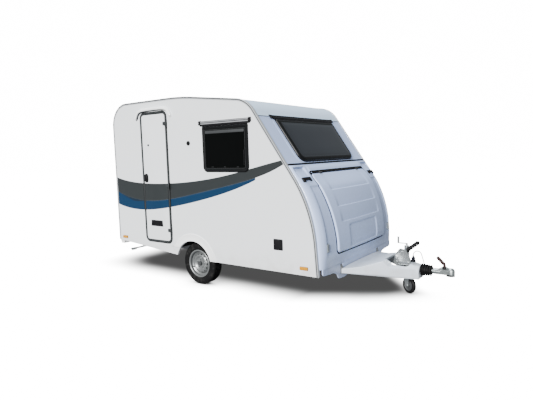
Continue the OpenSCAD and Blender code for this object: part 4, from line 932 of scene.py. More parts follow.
@dataclass
class Studio:
    """Camera, lights and floor."""

    place: Point = (4.2833 - MID, -5.179, 1.6928)
    yaw: float = 2.195
    pitch: float = -0.1008
    roll: float = 0.0294
    focal_px: float = 462.457
    centre_px: Pair = (273.39, 199.4)
    frame_px: tuple[int, int] = (533, 400)
    horizon: float = 60.0

    def camera(self) -> None:
        """Set up the camera from its fitted place and direction."""
        ahead = np.array([
            math.cos(self.yaw) * math.cos(self.pitch), math.sin(self.yaw) * math.cos(self.pitch),
            math.sin(self.pitch)
        ])
        side = unit(np.cross(ahead, [0.0, 0.0, 1.0]))
        down = np.cross(ahead, side)
        right = math.cos(self.roll) * side + math.sin(self.roll) * down
        low = -math.sin(self.roll) * side + math.cos(self.roll) * down
        turn = Matrix(np.stack([right, -low, -ahead], 1).tolist()).to_4x4()
        data = bpy.data.cameras.new("camera")
        width = self.frame_px[0]
        data.sensor_width = 36.0
        data.lens = self.focal_px / width * 36.0
        data.shift_x = (width / 2 - self.centre_px[0]) / width
        data.shift_y = (self.centre_px[1] - self.frame_px[1] / 2) / width
        data.clip_end = 100.0
        camera = bpy.data.objects.new("camera", data)
        camera.matrix_world = Matrix.Translation(self.place) @ turn
        bpy.context.scene.collection.objects.link(camera)
        bpy.context.scene.camera = camera

    def sun(
        self, name: str, source: Sequence[float], strength: float, spread: float, tint: Colour
    ) -> bpy.types.Object:
        """Add a distant soft light.

        Args:
            name: its name.
            source: direction that it comes from.
            strength: its strength.
            spread: angle of its disc in degrees.
            tint: its colour.

        Returns:
            The light.
        """
        data = bpy.data.lights.new(name, "SUN")
        data.energy = strength
        data.angle = math.radians(spread)
        data.color = tint
        sun = bpy.data.objects.new(name, data)
        sun.rotation_euler = Vector(source).to_track_quat("Z", "Y").to_euler()
        bpy.context.scene.collection.objects.link(sun)
        return sun

    def light(self) -> None:
        """Dim surroundings, a key light from the right side and a fill from above.

        The floor has a shadowless light of its own, so that it burns out to white;
        the shade under the caravan is in its material. The other lights leave it out.
        """
        world = bpy.data.worlds.new("studio")
        world.use_nodes = True
        world.node_tree.nodes["Background"].inputs[0].default_value = (0.9, 0.95, 1.0, 1.0)
        world.node_tree.nodes["Background"].inputs[1].default_value = 0.34
        bpy.context.scene.world = world
        floor = self.floor()
        self.backdrop()
        lit, unlit = (bpy.data.collections.new(name) for name in ("lit_from_overhead", "left_out"))
        lit.objects.link(floor)
        unlit.objects.link(floor)
        unlit.collection_objects[0].light_linking.link_state = "EXCLUDE"
        overhead = self.sun("overhead", (0.0, 0.0, 1.0), 58.0, 20.0, (1.0, 1.0, 1.0))
        overhead.data.use_shadow = False
        overhead.light_linking.receiver_collection = lit
        for name, source, strength, spread, tint in (
            ("key", (0.14, -0.93, 0.36), 8.6, 20.0, (1.0, 0.99, 0.975)),
            ("fill", (-0.45, 0.05, 1.0), 5.0, 30.0, (0.9, 0.96, 1.0)),
        ):
            self.sun(name, source, strength, spread, tint).light_linking.receiver_collection = unlit

    def floor(self) -> bpy.types.Object:
        """White floor that runs far out; only the camera sees it."""
        span = self.horizon
        corners = np.array([[-span, -span, 0], [span, -span, 0], [span, span, 0], [-span, span, 0]])
        mesh = bpy.data.meshes.new("floor")
        mesh.from_pydata(corners.tolist(), [], [(0, 1, 2, 3)])
        mesh.materials.append(
            Shaded("studio_floor", (0.9, 0.9, 0.9), 0.9, vary=0.004, specular=0.0).material()
        )
        return self.unseen(bpy.data.objects.new("floor", mesh))

    def backdrop(self) -> None:
        """White shell round the scene: a sphere of 60 m whose glow only the camera sees."""
        rings = turned(
            [(self.horizon * math.cos(a), self.horizon * math.sin(a)) for a in np.linspace(-1.56, 1.56, 25)],
            (0, 0, 0),
            (0, 0, 1), 48
        )
        shape = Shape().tube(rings)
        mesh = bpy.data.meshes.new("backdrop")
        mesh.from_pydata(
            np.vstack(shape.points).tolist(), [], [face.tolist() for block in shape.faces for face in block]
        )
        graph = Graph("studio_backdrop")
        graph.set(
            Base_Color=(0.0, 0.0, 0.0), Emission_Color=(1.0, 1.0, 1.0), Emission_Strength=16.0, Roughness=1.0
        )
        mesh.materials.append(graph.material)
        self.unseen(bpy.data.objects.new("backdrop", mesh))

    def unseen(self, piece: bpy.types.Object) -> bpy.types.Object:
        """Put a piece of the studio in the scene, seen by the camera's own rays alone."""
        bpy.context.scene.collection.objects.link(piece)
        piece.visible_diffuse = piece.visible_glossy = piece.visible_transmission = False
        piece.visible_volume_scatter = piece.visible_shadow = False
        return piece


@dataclass
class Lead:
    """The lead to the towing car: plug, cable and the cable's hump."""

    points: Table = mm(
        (2533, -46, 479.2), (2533, -46, 485), (2536, -45, 501), (2544, -44, 515), (2556, -41, 525),
        (2571, -38, 530), (2586, -34, 529), (2601, -31, 523), (2612, -28, 512), (2619, -27, 498),
        (2627, -25, 471), (2635, -23, 444), (2642, -22, 417), (2650, -20, 391)
    )
    thick: float = 0.011

    def make(self) -> None:
        """Cable and plug."""
        route = smooth_path(self.points, 66)
        lean = np.cross(route[-1] - route[0], [0, 0, 1.0])
        cable = build(
            "lead_cable", Shape().tube(carried(route, circle(self.thick / 2, 12), lean)), BLACK_RUBBER,
            ["plug_cable"], angle=60
        )
        x, y, top = self.points[0]
        base = top - 0.0703
        body = mm(
            (0, 0), (21.5, 0), (22, 2), (22, 20), (20.5, 22), (20.5, 26), (22, 28), (22, 44), (19, 48),
            (12.5, 56), (9.5, 60), (9.5, 70), (0, 70)
        )
        grip = turned(body, (x, y, base), (0, 0, 1), 60)
        ribs = 1.0 + 0.03 * np.cos(np.linspace(0, 2 * math.pi * 15, 60, endpoint=False))
        axis = np.array([x, y, 0.0])
        waist = np.arange(len(body))
        on = ((waist >= 6) & (waist <= 7))[:, None]
        grip[..., :2] = axis[:2] + (grip[..., :2] - axis[:2]) * np.where(on, ribs, 1.0)[..., None]
        plug = build("plug_body", Shape().grid(grip, around=True), PLUG_BLUE, ["plug"])


@dataclass
class FrontEnd:
    """Moulded front with its grab pockets, and the locker lid in it."""

    profile: Outline = Outline(
        mm(
            (-1560, 479, 0), (-1560, 2437, 310), (-150, 2437, 4000), (933, 2310, 350), (1777, 1087, 1500),
            (1831, 349, 0), (-70, 349, 0)
        ),
        48
    )
    proud: float = 0.062
    shoulder: float = 0.092
    low: float = 0.424
    high: float = 1.545
    lid_low: float = 0.551
    lid_high: float = 1.447
    lid_half: Pair = (0.645, 0.7)
    gap: float = 0.006
    lid_proud: float = 0.012
    step: float = 0.009
    lines: tuple[float, ...] = (1.25, 1.062, 0.89)
    grab: Pair = (0.838, 1.392)
    crown: float = 0.045
    around: int = 620

    def edge(self, z: Array) -> Array:
        """Place x of the side profile's front edge at height z."""
        ring = self.profile.inset(0.0)
        front = ring[ring[:, 0] > 0.9]
        order = np.argsort(front[:, 1])
        return np.interp(z, front[order, 1], front[order, 0])

    def swell(self, z: Array) -> Array:
        """Share of the full swell at height z."""
        table = np.array([[0.424, 0.66], [0.56, 0.92], [0.76, 1], [1.0, 1], [1.25, 0.94], [1.545, 0.62]])
        return np.interp(z, table[:, 0], table[:, 1])

    def middle(self, z: Array) -> Array:
        """Place x of the moulding's middle part at height z."""
        return self.edge(z) + self.proud * self.swell(z)

    def bulge(self, y: Array, z: Array) -> Array:
        """How far the front is crowned: a parabola across, faded out above and below the lid."""
        return self.crown * np.clip(1 - (y / 0.93) ** 2, 0, 1) * ease(z, 0.43, 0.66) * ease(z, 1.455, 1.28)

    def skin(self, y: Array, z: Array) -> Array:
        """Place x of the moulded front.

        The swell rises over a quarter ellipse at each side. The flanks beside the lid
        lie 9 mm back, the brow over the lid stands out, and above each grab handle is
        a pocket, deep at its upper edge, whose floor runs out to the face below it.

        Args:
            y: places across.
            z: heights.

        Returns:
            Places along x.
        """
        inward = np.clip(INNER_W - np.abs(y), 0, self.shoulder)
        rise = np.sqrt(np.clip(1 - (1 - inward / self.shoulder) ** 2, 0, 1))
        x = self.edge(z) + self.proud * self.swell(z) * rise
        flank = ease(np.abs(y), 0.868, 0.846) * ease(z, 1.32, 1.3) * ease(z, 0.5, 0.62)
        x = x - 0.011 * flank + self.bulge(y, z)
        across = np.abs(np.abs(y) - self.grab[0])
        slope = np.clip((z - 1.4) / 0.11, 0, 1)
        pocket = ease(across, 0.108, 0.086) * ease(z, 1.53, 1.505) * slope
        brow = ease(np.abs(y), 0.7, 0.66) * ease(z, 1.449, 1.457) * ease(z, 1.543, 1.5)
        return x - 0.03 * pocket + 0.012 * brow

    def lid_outline(self, grow: float) -> tuple[Array, Array]:
        """Ring (y, z) of the lid's outline grown outwards, evenly spaced by length."""
        shape = Outline((
            (-self.lid_half[0], self.lid_low, 0.045), (-self.lid_half[1], self.lid_high, 0.06),
            (self.lid_half[1], self.lid_high, 0.06), (self.lid_half[0], self.lid_low, 0.045),
        ))
        ring = shape.inset(-grow)
        ring = np.vstack([ring, ring[:1]])
        far = np.concatenate([[0], np.cumsum(np.linalg.norm(np.diff(ring, axis=0), axis=1))])
        at = np.linspace(0, far[-1], self.around, endpoint=False)
        return np.interp(at, far, ring[:, 0]), np.interp(at, far, ring[:, 1])

    def moulding(self) -> Shape:
        """Moulded front as a closed skin with a hole for the lid.

        Rings run from the lid's outline to the outer border: point = (1 - s) inner +
        s outer, with s crowded towards the shoulder. The border is the box of the
        seams and the inner wall faces, met by rays from the lid's middle.

        Returns:
            The skin with its thickness and the return flange round the lid.
        """
        rings = 48
        inner = np.stack(self.lid_outline(0.0), -1)
        centre = np.array([0.0, 1.0])
        ray = inner - centre
        high = np.where(ray[:, 1] > 0, self.high - centre[1], centre[1] - self.low)
        reach = np.minimum(
            INNER_W / np.maximum(np.abs(ray[:, 0]), 1e-9), high / np.maximum(np.abs(ray[:, 1]), 1e-9)
        )
        outer = centre + ray * reach[:, None]
        corners = np.array([[y, z] for y in (-INNER_W, INNER_W) for z in (self.low, self.high)])
        near = np.linalg.norm(outer[:, None] - corners[None], axis=-1)
        pick = near.argmin(0)
        outer[pick] = corners
        s = 1.0 - (1.0 - np.linspace(0, 1, rings)) ** 1.6
        flat = inner[None] * (1 - s[:, None, None]) + outer[None] * s[:, None, None]
        x = self.skin(flat[..., 0], flat[..., 1])
        front = np.dstack([x, flat])
        lip = front[:1].copy()
        lip[..., 0] -= 0.036
        back = front.copy()
        back[..., 0] = np.minimum(back[..., 0] - 0.014, self.edge(back[..., 2]) + 0.001)
        return Shape().grid(np.concatenate([lip, front, back[::-1]]), around=True, closed=True)

    def lid_half_at(self, z: Array) -> Array:
        """Half width of the lid at height z, with its rounded corners."""
        share = (z - self.lid_low) / (self.lid_high - self.lid_low)
        wide = self.lid_half[0] + (self.lid_half[1] - self.lid_half[0]) * share - self.gap
        top = np.clip(z - (self.lid_high - self.gap - 0.054), 0, 0.054)
        low = np.clip(self.lid_low + self.gap + 0.039 - z, 0, 0.039)
        wide = wide - 0.054 + np.sqrt(0.054**2 - top**2)
        return wide - 0.039 + np.sqrt(0.039**2 - low**2)

    def lid_depth(self, y: Array, z: Array) -> Array:
        """How far the lid's face lies back at (y, z).

        Above each line the face sinks by one step in a straight ramp and comes out
        again at the line, which leaves a ledge that faces up. The steps fade out
        towards both sides. Below the last line a panel lies back, with rounded upper
        corners. Round the border the face rolls back over 14 mm.

        Args:
            y: places across.
            z: heights.

        Returns:
            Depth in metres.
        """
        marks = np.array([self.lid_high, *self.lines])
        window = ease(np.abs(y), 0.535, 0.475)
        ramp = np.zeros_like(z)
        for upper, lower in zip(marks[:-1], marks[1:]):
            inside = (z <= upper) & (z > lower + 0.006)
            ramp = np.where(inside, (upper - z) / (upper - lower), ramp)
            ledge = (z <= lower + 0.006) & (z > lower)
            ramp = np.where(ledge, (z - lower) / 0.006, ramp)
        panel_y = (np.abs(y) - 0.37) / 0.03
        panel_z = (z - 0.845) / 0.03
        outside = np.hypot(np.maximum(panel_y, -1) + 1, np.maximum(panel_z, -1) + 1) - 1
        panel = ease(outside, 0.35, -0.35) * ease(z, 0.575, 0.6)
        rim = np.minimum(
            self.lid_half_at(z) - np.abs(y),
            np.minimum(z - self.lid_low - self.gap, self.lid_high - self.gap - z)
        )
        roll = 1 - np.sqrt(np.clip(1 - (1 - np.clip(rim / 0.014, 0, 1)) ** 2, 0, 1))
        return self.step * ramp * window + 0.009 * panel + 0.013 * roll

    def lid(self) -> Shape:
        """Locker lid: rows at constant height, crowded at the ledges and borders."""
        low, high = self.lid_low + self.gap, self.lid_high - self.gap
        rows = [np.linspace(low, high, 110)]
        for line in self.lines:
            rows.append(line + np.array([-0.004, -0.001, 0.0, 0.002, 0.004, 0.006, 0.007, 0.01]))
        rows.append(low + 0.04 * (1 - np.cos(np.linspace(0, math.pi / 2, 14))))
        rows.append(high - 0.055 * (1 - np.cos(np.linspace(0, math.pi / 2, 14))))
        z = np.unique(np.round(np.concatenate(rows), 5))
        turn = np.linspace(-math.pi / 2, math.pi / 2, 29)
        middle = np.linspace(-0.93, 0.93, 121)
        side = 0.93 + 0.07 * np.sin(turn[14:])
        u = np.unique(np.concatenate([middle, side, -side]))
        y = self.lid_half_at(z)[:, None] * u[None]
        zz = np.broadcast_to(z[:, None], y.shape)
        face = self.middle(zz) + self.bulge(y, zz) + self.lid_proud
        front = np.dstack([face - self.lid_depth(y, zz), y, zz])
        back = front.copy()
        back[..., 0] = face - 0.032
        sheet = np.concatenate([front, back[::-1]])
        shape = Shape().grid(sheet, closed=True)
        for column in (0, -1):
            shape.grid(np.stack([front[:, column], back[:, column]]))
        return shape

    def hinges(self) -> Shape:
        """Knuckles on the lid, as turned sleeves on short arms."""
        shape = Shape()
        for y in (-0.48, 0.48):
            shape.grid(
                turned(mm((4.5, -30), (9, -30), (9, 30), (4.5, 30)), (1.5866, y, 1.451), (0, 1, 0), 24), True,
                True
            )
            path = np.array([[1.5866 + 0.002, y, 1.446], [1.5866 - 0.002, y, 1.425]])
            shape.tube(carried(path, box_section(0.058, 0.012, 0.002), (1, 0, 0)))
        return shape

    def make(self) -> None:
        """Moulding, lid, grab handles and front lamps."""
        build("front_moulding", self.moulding(), FRONT_SKIN, ["front_lower"], angle=50)
        build("locker_lid_panel", self.lid(), FRONT_SKIN, ["locker_lid"], body="lid", angle=30)
        build("locker_lid_hinges", self.hinges(), GREY_PLASTIC, body="lid")
        self.seam()
        self.handles()
        self.lamps()
        self.edge_trims()
        # Black strip round the lid: painted shade of its gap and of the shadow under the brow.
        self.lid_gap_shade()

    def seam(self) -> None:
        """Black strip along the seam at the foot of the window panel, over the moulding."""
        y = np.linspace(-INNER_W + 0.002, INNER_W - 0.002, 61)
        foot = np.array([float(self.edge(np.array(1.555))), 0.0, 1.555])
        path = foot + y[:, None] * np.array([0, 1.0, 0]) + 0.002 * np.array(OUT)
        section = plate(-0.011, 0.011, -0.003, 0.005, 0.002, 0.004).inset(0.0)
        build("front_seam_strip", Shape().tube(carried(path, section, OUT)), BLACK_RUBBER)

    def lid_gap_shade(self) -> None:
        """Black strip on the moulding round the lid, painted shade for the dark gap round the lid, wider along
        its top for the painted shadow under the brow.
        """
        near, far = (np.stack(self.lid_outline(grow), -1) for grow in (0.001, 0.014))
        # Painted shadow under the brow: the strip widens along the lid's top.
        wide = far + (far - near) * (1.3 * ease(near[:, 1], 1.425, 1.446))[:, None]
        rings = []
        for share, proud in (
            (0.0, -0.006), (0.0, 0.0015), (0.25, 0.0032), (0.75, 0.0032), (1.0, 0.0015), (1.0, -0.006)
        ):
            flat = near + (wide - near) * share
            rings.append(np.column_stack([self.skin(flat[:, 0], flat[:, 1]) + proud, flat]))
        shape = Shape().grid(np.stack(rings), around=True, closed=True)
        build("locker_lid_seal", shape, BLACK_RUBBER, angle=60)

    def edge_trims(self) -> None:
        """Trims along both edges of the profile: a grooved section with a dark insert.

        The section is given by distance inwards from the profile and height above the
        wall. It is carried from the foot of the rear wall over the roof to the front's
        foot, whose ends are cut level.
        """
        trim = [
            (-0.005, -WALL), (-0.005, 0.002), (-0.002, 0.005), (0.003, 0.005), (0.0045, 0.0028),
            (0.0145, 0.0028),
            (0.016, 0.005), (0.02, 0.005), (0.0235, 0.003), (0.024, 0.0), (0.0, 0.0), (0.0, -WALL),
        ]
        insert = mm((4.7, 2), (5.5, 4.2), (9.5, 5.4), (13.5, 4.2), (14.3, 2))
        arc = self.profile.arc
        for name, section, finish, nodes, slot in (
            ("body_edge_trims", trim, TRIM_GREY, ["edge_trims"], "trim_grey"),
            ("edge_trim_inserts", insert, BLACK_RUBBER, [], "soft_rubber"),
        ):
            shape = Shape()
            for side in Side:
                rings = self.profile.rings(WALLS[side], section)[:, arc - 1 : 5 * arc + 1].transpose(1, 0, 2)
                rings[0, :, 2], rings[-1, :, 2] = self.profile.corners[0][1], self.profile.corners[5][1]
                shape.tube(rings)
            build(name, shape, finish, nodes, angle=40)

    def handles(self) -> None:
        """Grab handles: a bar on two feet, all with rounded sections."""
        y, z = self.grab
        base = np.array([float(self.middle(np.array(z))), 0.0, z])
        out, down = np.array(OUT), np.array(DOWN)
        shape = Shape()
        t = np.linspace(-1, 1, 41)
        reach = 0.012 - 0.04 * np.abs(t) ** 8
        path = base + reach[:, None] * out + (t * 0.078)[:, None] * np.array([0, 1.0, 0])
        path[:, 1] += y
        shape.tube(carried(path, box_section(0.022, 0.034, 0.007), down))
        for foot in (-0.064, 0.064):
            plane = Plane(tuple(base - 0.012 * out + np.array([0, y, 0])), (0, 1, 0), tuple(-down), OUT)
            domed(shape, plane, plate(foot - 0.022, foot + 0.022, -0.036, 0.022, 0.008), rolled(0.024, 0.006))
        build("grab_bars", shape.mirrored(), BLACK_PLASTIC, ["grab_handles"])

    def lamps(self) -> None:
        """Front lamps: a clear lens in a grey base, bent to the moulding."""
        y0, z0 = 0.85, 0.645
        plane = Plane((0, 0, 0), (0, 1, 0), (0, 0, 1), (1, 0, 0))
        for name, grow, proud, finish in (
            ("lamp_bases", 0.0, 0.006, LAMP_GREY), ("lamp_lenses", 0.006, 0.013, CLEAR)
        ):
            shape = Shape()
            outline = plate(y0 - 0.031, y0 + 0.031, z0 - 0.048, z0 + 0.048, 0.01)
            rings = outline.rings(plane, [(grow + t, h) for t, h in rolled(proud, 0.004)])
            rings[..., 0] += self.middle(rings[..., 2]) - 0.001
            shape.tube(rings)
            replaces = ["front_lamps"] if finish is CLEAR else []
            build("front_" + name, shape.mirrored(), finish, replaces)


@dataclass
class Windows:
    """Panes with rolled edges, frame beads and awning rails."""

    length: float = 0.729
    height: float = 0.562
    low: float = 1.475
    front_x: float = 0.216
    kitchen_x: float = -1.29

    def side_places(self) -> tuple[tuple[Side, float], ...]:
        """Side and rear edge of each window in the side walls."""
        return (Side.RIGHT, self.front_x), (Side.LEFT, self.front_x), (Side.LEFT, self.kitchen_x)

    def places(self) -> list[tuple[Plane, Outline, Point]]:
        """Each side and rear window: its plane, outline and the rail above it (from, to, height)."""
        top = self.low + self.height
        out = []
        for side, x in self.side_places():
            outline = plate(x, x + self.length, self.low, top, 0.07, 0.016)
            out.append((WALLS[side], outline, (x - 0.04, x + self.length + 0.04, top + 0.024)))
        out.append((REAR, plate(-0.61, 0.61, self.low, top, 0.07, 0.016), (-0.65, 0.65, top + 0.024)))
        return out

    def front(self) -> Outline:
        """Outline of the front window on the slope."""
        return Outline(mm((285, -692, 24), (285, 692, 24), (897, 672, 110), (897, -672, 110)))

    def surround(self) -> Shape:
        """Body-coloured ring between the opening in the slope and the front window's seal."""
        wide = Outline(mm((285, -735, 24), (285, 735, 24), (897, 705, 110), (897, -705, 110)))
        rings = [SLOPE.lift(wide.inset(-0.004), 0.0), SLOPE.lift(wide.inset(-0.002), 0.0022)]
        rings += [SLOPE.lift(self.front().inset(0.004), 0.0022), SLOPE.lift(self.front().inset(0.004), -WALL)]
        rings += [SLOPE.lift(wide.inset(0.0135), -WALL), SLOPE.lift(wide.inset(0.0135), 0.0)]
        return Shape().grid(np.stack(rings), around=True, closed=True)

    def bulging(self) -> tuple[Shape, Shape]:
        """Front pane: its black edge, which rises over a soft shoulder, and its clear part."""
        front = self.front()
        edge = mm((6, 4), (6.5, 12), (12, 22), (22, 30), (34, 33.5), (50, 34.5), (54, 32.5), (54, 4))
        clear = mm((53, 28), (53, 33), (60, 33.6), (70, 32.6), (74, 33.6), (100, 35), (150, 36.5), (200, 37))
        return banded(Shape(), SLOPE, front, edge), domed(Shape(), SLOPE, front, clear)

    def pane(self, plane: Plane, outline: Outline) -> Shape:
        """A pane that bulges slightly: rings inwards rise as a flat arch."""
        profile = [(t + 0.007, h) for t, h in rolled(FRAME_PROUD + 0.005, 0.003, FRAME_PROUD)]
        profile += [(0.012 + d, FRAME_PROUD + 0.005) for d in (0.01, 0.018, 0.03)]
        return domed(Shape(), plane, outline, profile)

    def border(self, plane: Plane, outline: Outline, line: bool = False) -> Shape:
        """Raised black border round the clear part of a pane, or the line of its inner frame."""
        h = FRAME_PROUD + 0.0045
        profile = [
            (0.0085, h), (0.0085, h + 0.002), (0.0105, h + 0.0038), (0.034, h + 0.0038), (0.038, h + 0.002),
            (0.038, h)
        ]
        if not line:
            return banded(Shape(), plane, outline, profile)
        shape = banded(
            Shape(), plane, outline, [(0.046, h), (0.046, h + 0.0014), (0.05, h + 0.0014), (0.05, h)]
        )
        places = outline.inset(0.058)
        (u0, _), (u1, v1) = places.min(0), places.max(0)
        return domed(shape, plane, plate(u0, u1, v1 - 0.034, v1, 0.01), rolled(0.0012, 0.0005), h)

    def catches(self) -> Shape:
        """Catches at the foot of each side pane and the stay along its front edge."""
        shape = Shape()
        for side, x in self.side_places():
            middle, low = x + self.length / 2, self.low + 0.062
            plane, base = WALLS[side], FRAME_PROUD + 0.0045
            for centre in (middle - 0.2, middle, middle + 0.2):
                outline = plate(centre - 0.017, centre + 0.017, low - 0.008, low + 0.008, 0.0075)
                domed(shape, plane, outline, rolled(0.005, 0.003), base)
            edge = x + self.length - 0.068
            domed(
                shape, plane, plate(edge - 0.004, edge + 0.004, low + 0.02, low + 0.2, 0.0035),
                rolled(0.004, 0.002), base
            )
        return shape

    def seal(self, plane: Plane, outline: Outline) -> Shape:
        """Black flange with a rolled rim and a groove, as one closed band."""
        profile = [
            (0.0, 0.0), (0.0, 0.004), (0.002, FRAME_PROUD), (0.004, FRAME_PROUD + 0.001),
            (0.006, FRAME_PROUD),
            (0.0065, 0.001), (0.03, 0.001), (0.03, -WALL - 0.005), (0.0, -WALL - 0.005), (0.0, -WALL),
            (0.0123, -WALL), (0.0123, 0.0),
        ]
        return banded(Shape(), plane, outline, profile)

    def rail(self, plane: Plane, start: float, end: float, height: float) -> tuple[Shape, Shape]:
        """Awning rail over a window: a ribbed bar and its two end caps."""
        section = np.array(
            mm(
                (0, 0), (0, 12), (2, 14.5), (12, 15), (14, 10), (20, 10), (22, 15), (30, 14.5), (32, 10),
                (36, 10), (38, 8), (38, 0)
            )
        )
        def ring(place: float, grow: float) -> Array:
            """The section at one place, grown from its middle."""
            s = section.copy()
            s[:, 0] = 0.019 + (s[:, 0] - 0.019) * grow
            s[:, 1] *= grow
            flat = np.stack([np.full(len(s), place), height + s[:, 0]], -1)
            return plane.lift(flat, s[:, 1])
        bar = Shape().tube(np.stack([ring(start + 0.012, 1.0), ring(end - 0.012, 1.0)]))
        caps = Shape()
        for a, b in ((start - 0.008, start + 0.03), (end - 0.03, end + 0.008)):
            caps.tube(np.stack([ring(a, 1.1), ring(a + 0.003, 1.36), ring(b - 0.003, 1.36), ring(b, 1.1)]))
        for low, high in ((0.0142, 0.0198), (0.0322, 0.0385)):
            domed(
                caps, plane, plate(start + 0.02, end - 0.02, height + low, height + high, 0.001),
                mm((0, 6), (0, 11.6), (1, 12.2))
            )
        return bar, caps

    def make(self) -> None:
        """All windows with their rails."""
        panes, seals, bars, caps, borders, lines = Shape(), Shape(), Shape(), Shape(), Shape(), Shape()
        for plane, outline, rail in self.places():
            join(panes, self.pane(plane, outline))
            join(seals, self.seal(plane, outline))
            join(borders, self.border(plane, outline))
            join(lines, self.border(plane, outline, True))
            bar, cap = self.rail(plane, *rail)
            join(bars, bar)
            join(caps, cap)
            under = plate(rail[0] + 0.012, rail[1] - 0.012, rail[2] - 0.0235, rail[2] - 0.001, 0.003)
            domed(caps, plane, under, rolled(0.008, 0.003))
        front = self.front()
        join(seals, self.seal(SLOPE, front))
        edge, clear = self.bulging()
        join(borders, edge)
        flipped = Plane(SLOPE.origin, (0, 1, 0), tuple(-c for c in DOWN), OUT)
        bar, cap = self.rail(flipped, -0.745, 0.745, -0.261)
        join(caps, cap)
        domed(caps, flipped, plate(-0.7, 0.7, -0.286, -0.262, 0.003), rolled(0.012, 0.004))
        for low, high in ((-0.967, -0.762), (0.762, 0.967)):
            domed(caps, flipped, plate(low, high, -0.238, -0.232, 0.002), rolled(0.003, 0.001, -0.001))
        build("front_window_surround", self.surround(), FRONT_SKIN)
        build("window_glazing", panes, PANE, ["window_panes"])
        build("front_glazing", clear, FRONT_PANE)
        build("window_borders", borders, WINDOW_BLACK)
        build("window_inner_lines", lines, INNER_LINE)
        build("window_catches", self.catches(), BLACK_PLASTIC)
        build("window_seals", seals, BLACK_PLASTIC, ["window_frames"])
        build("awning_rails", bars, RAIL_METAL, ["window_rails"])
        build("front_awning_rail", bar, DARK_RAIL)
        build("awning_rail_caps", caps, BLACK_PLASTIC)


def join(target: Shape, other: Shape) -> Shape:
    """Add all of one shape to another."""
    for points, faces, start in zip(other.points, other.faces, other.starts()):
        target.add(points, faces - start)
    return target


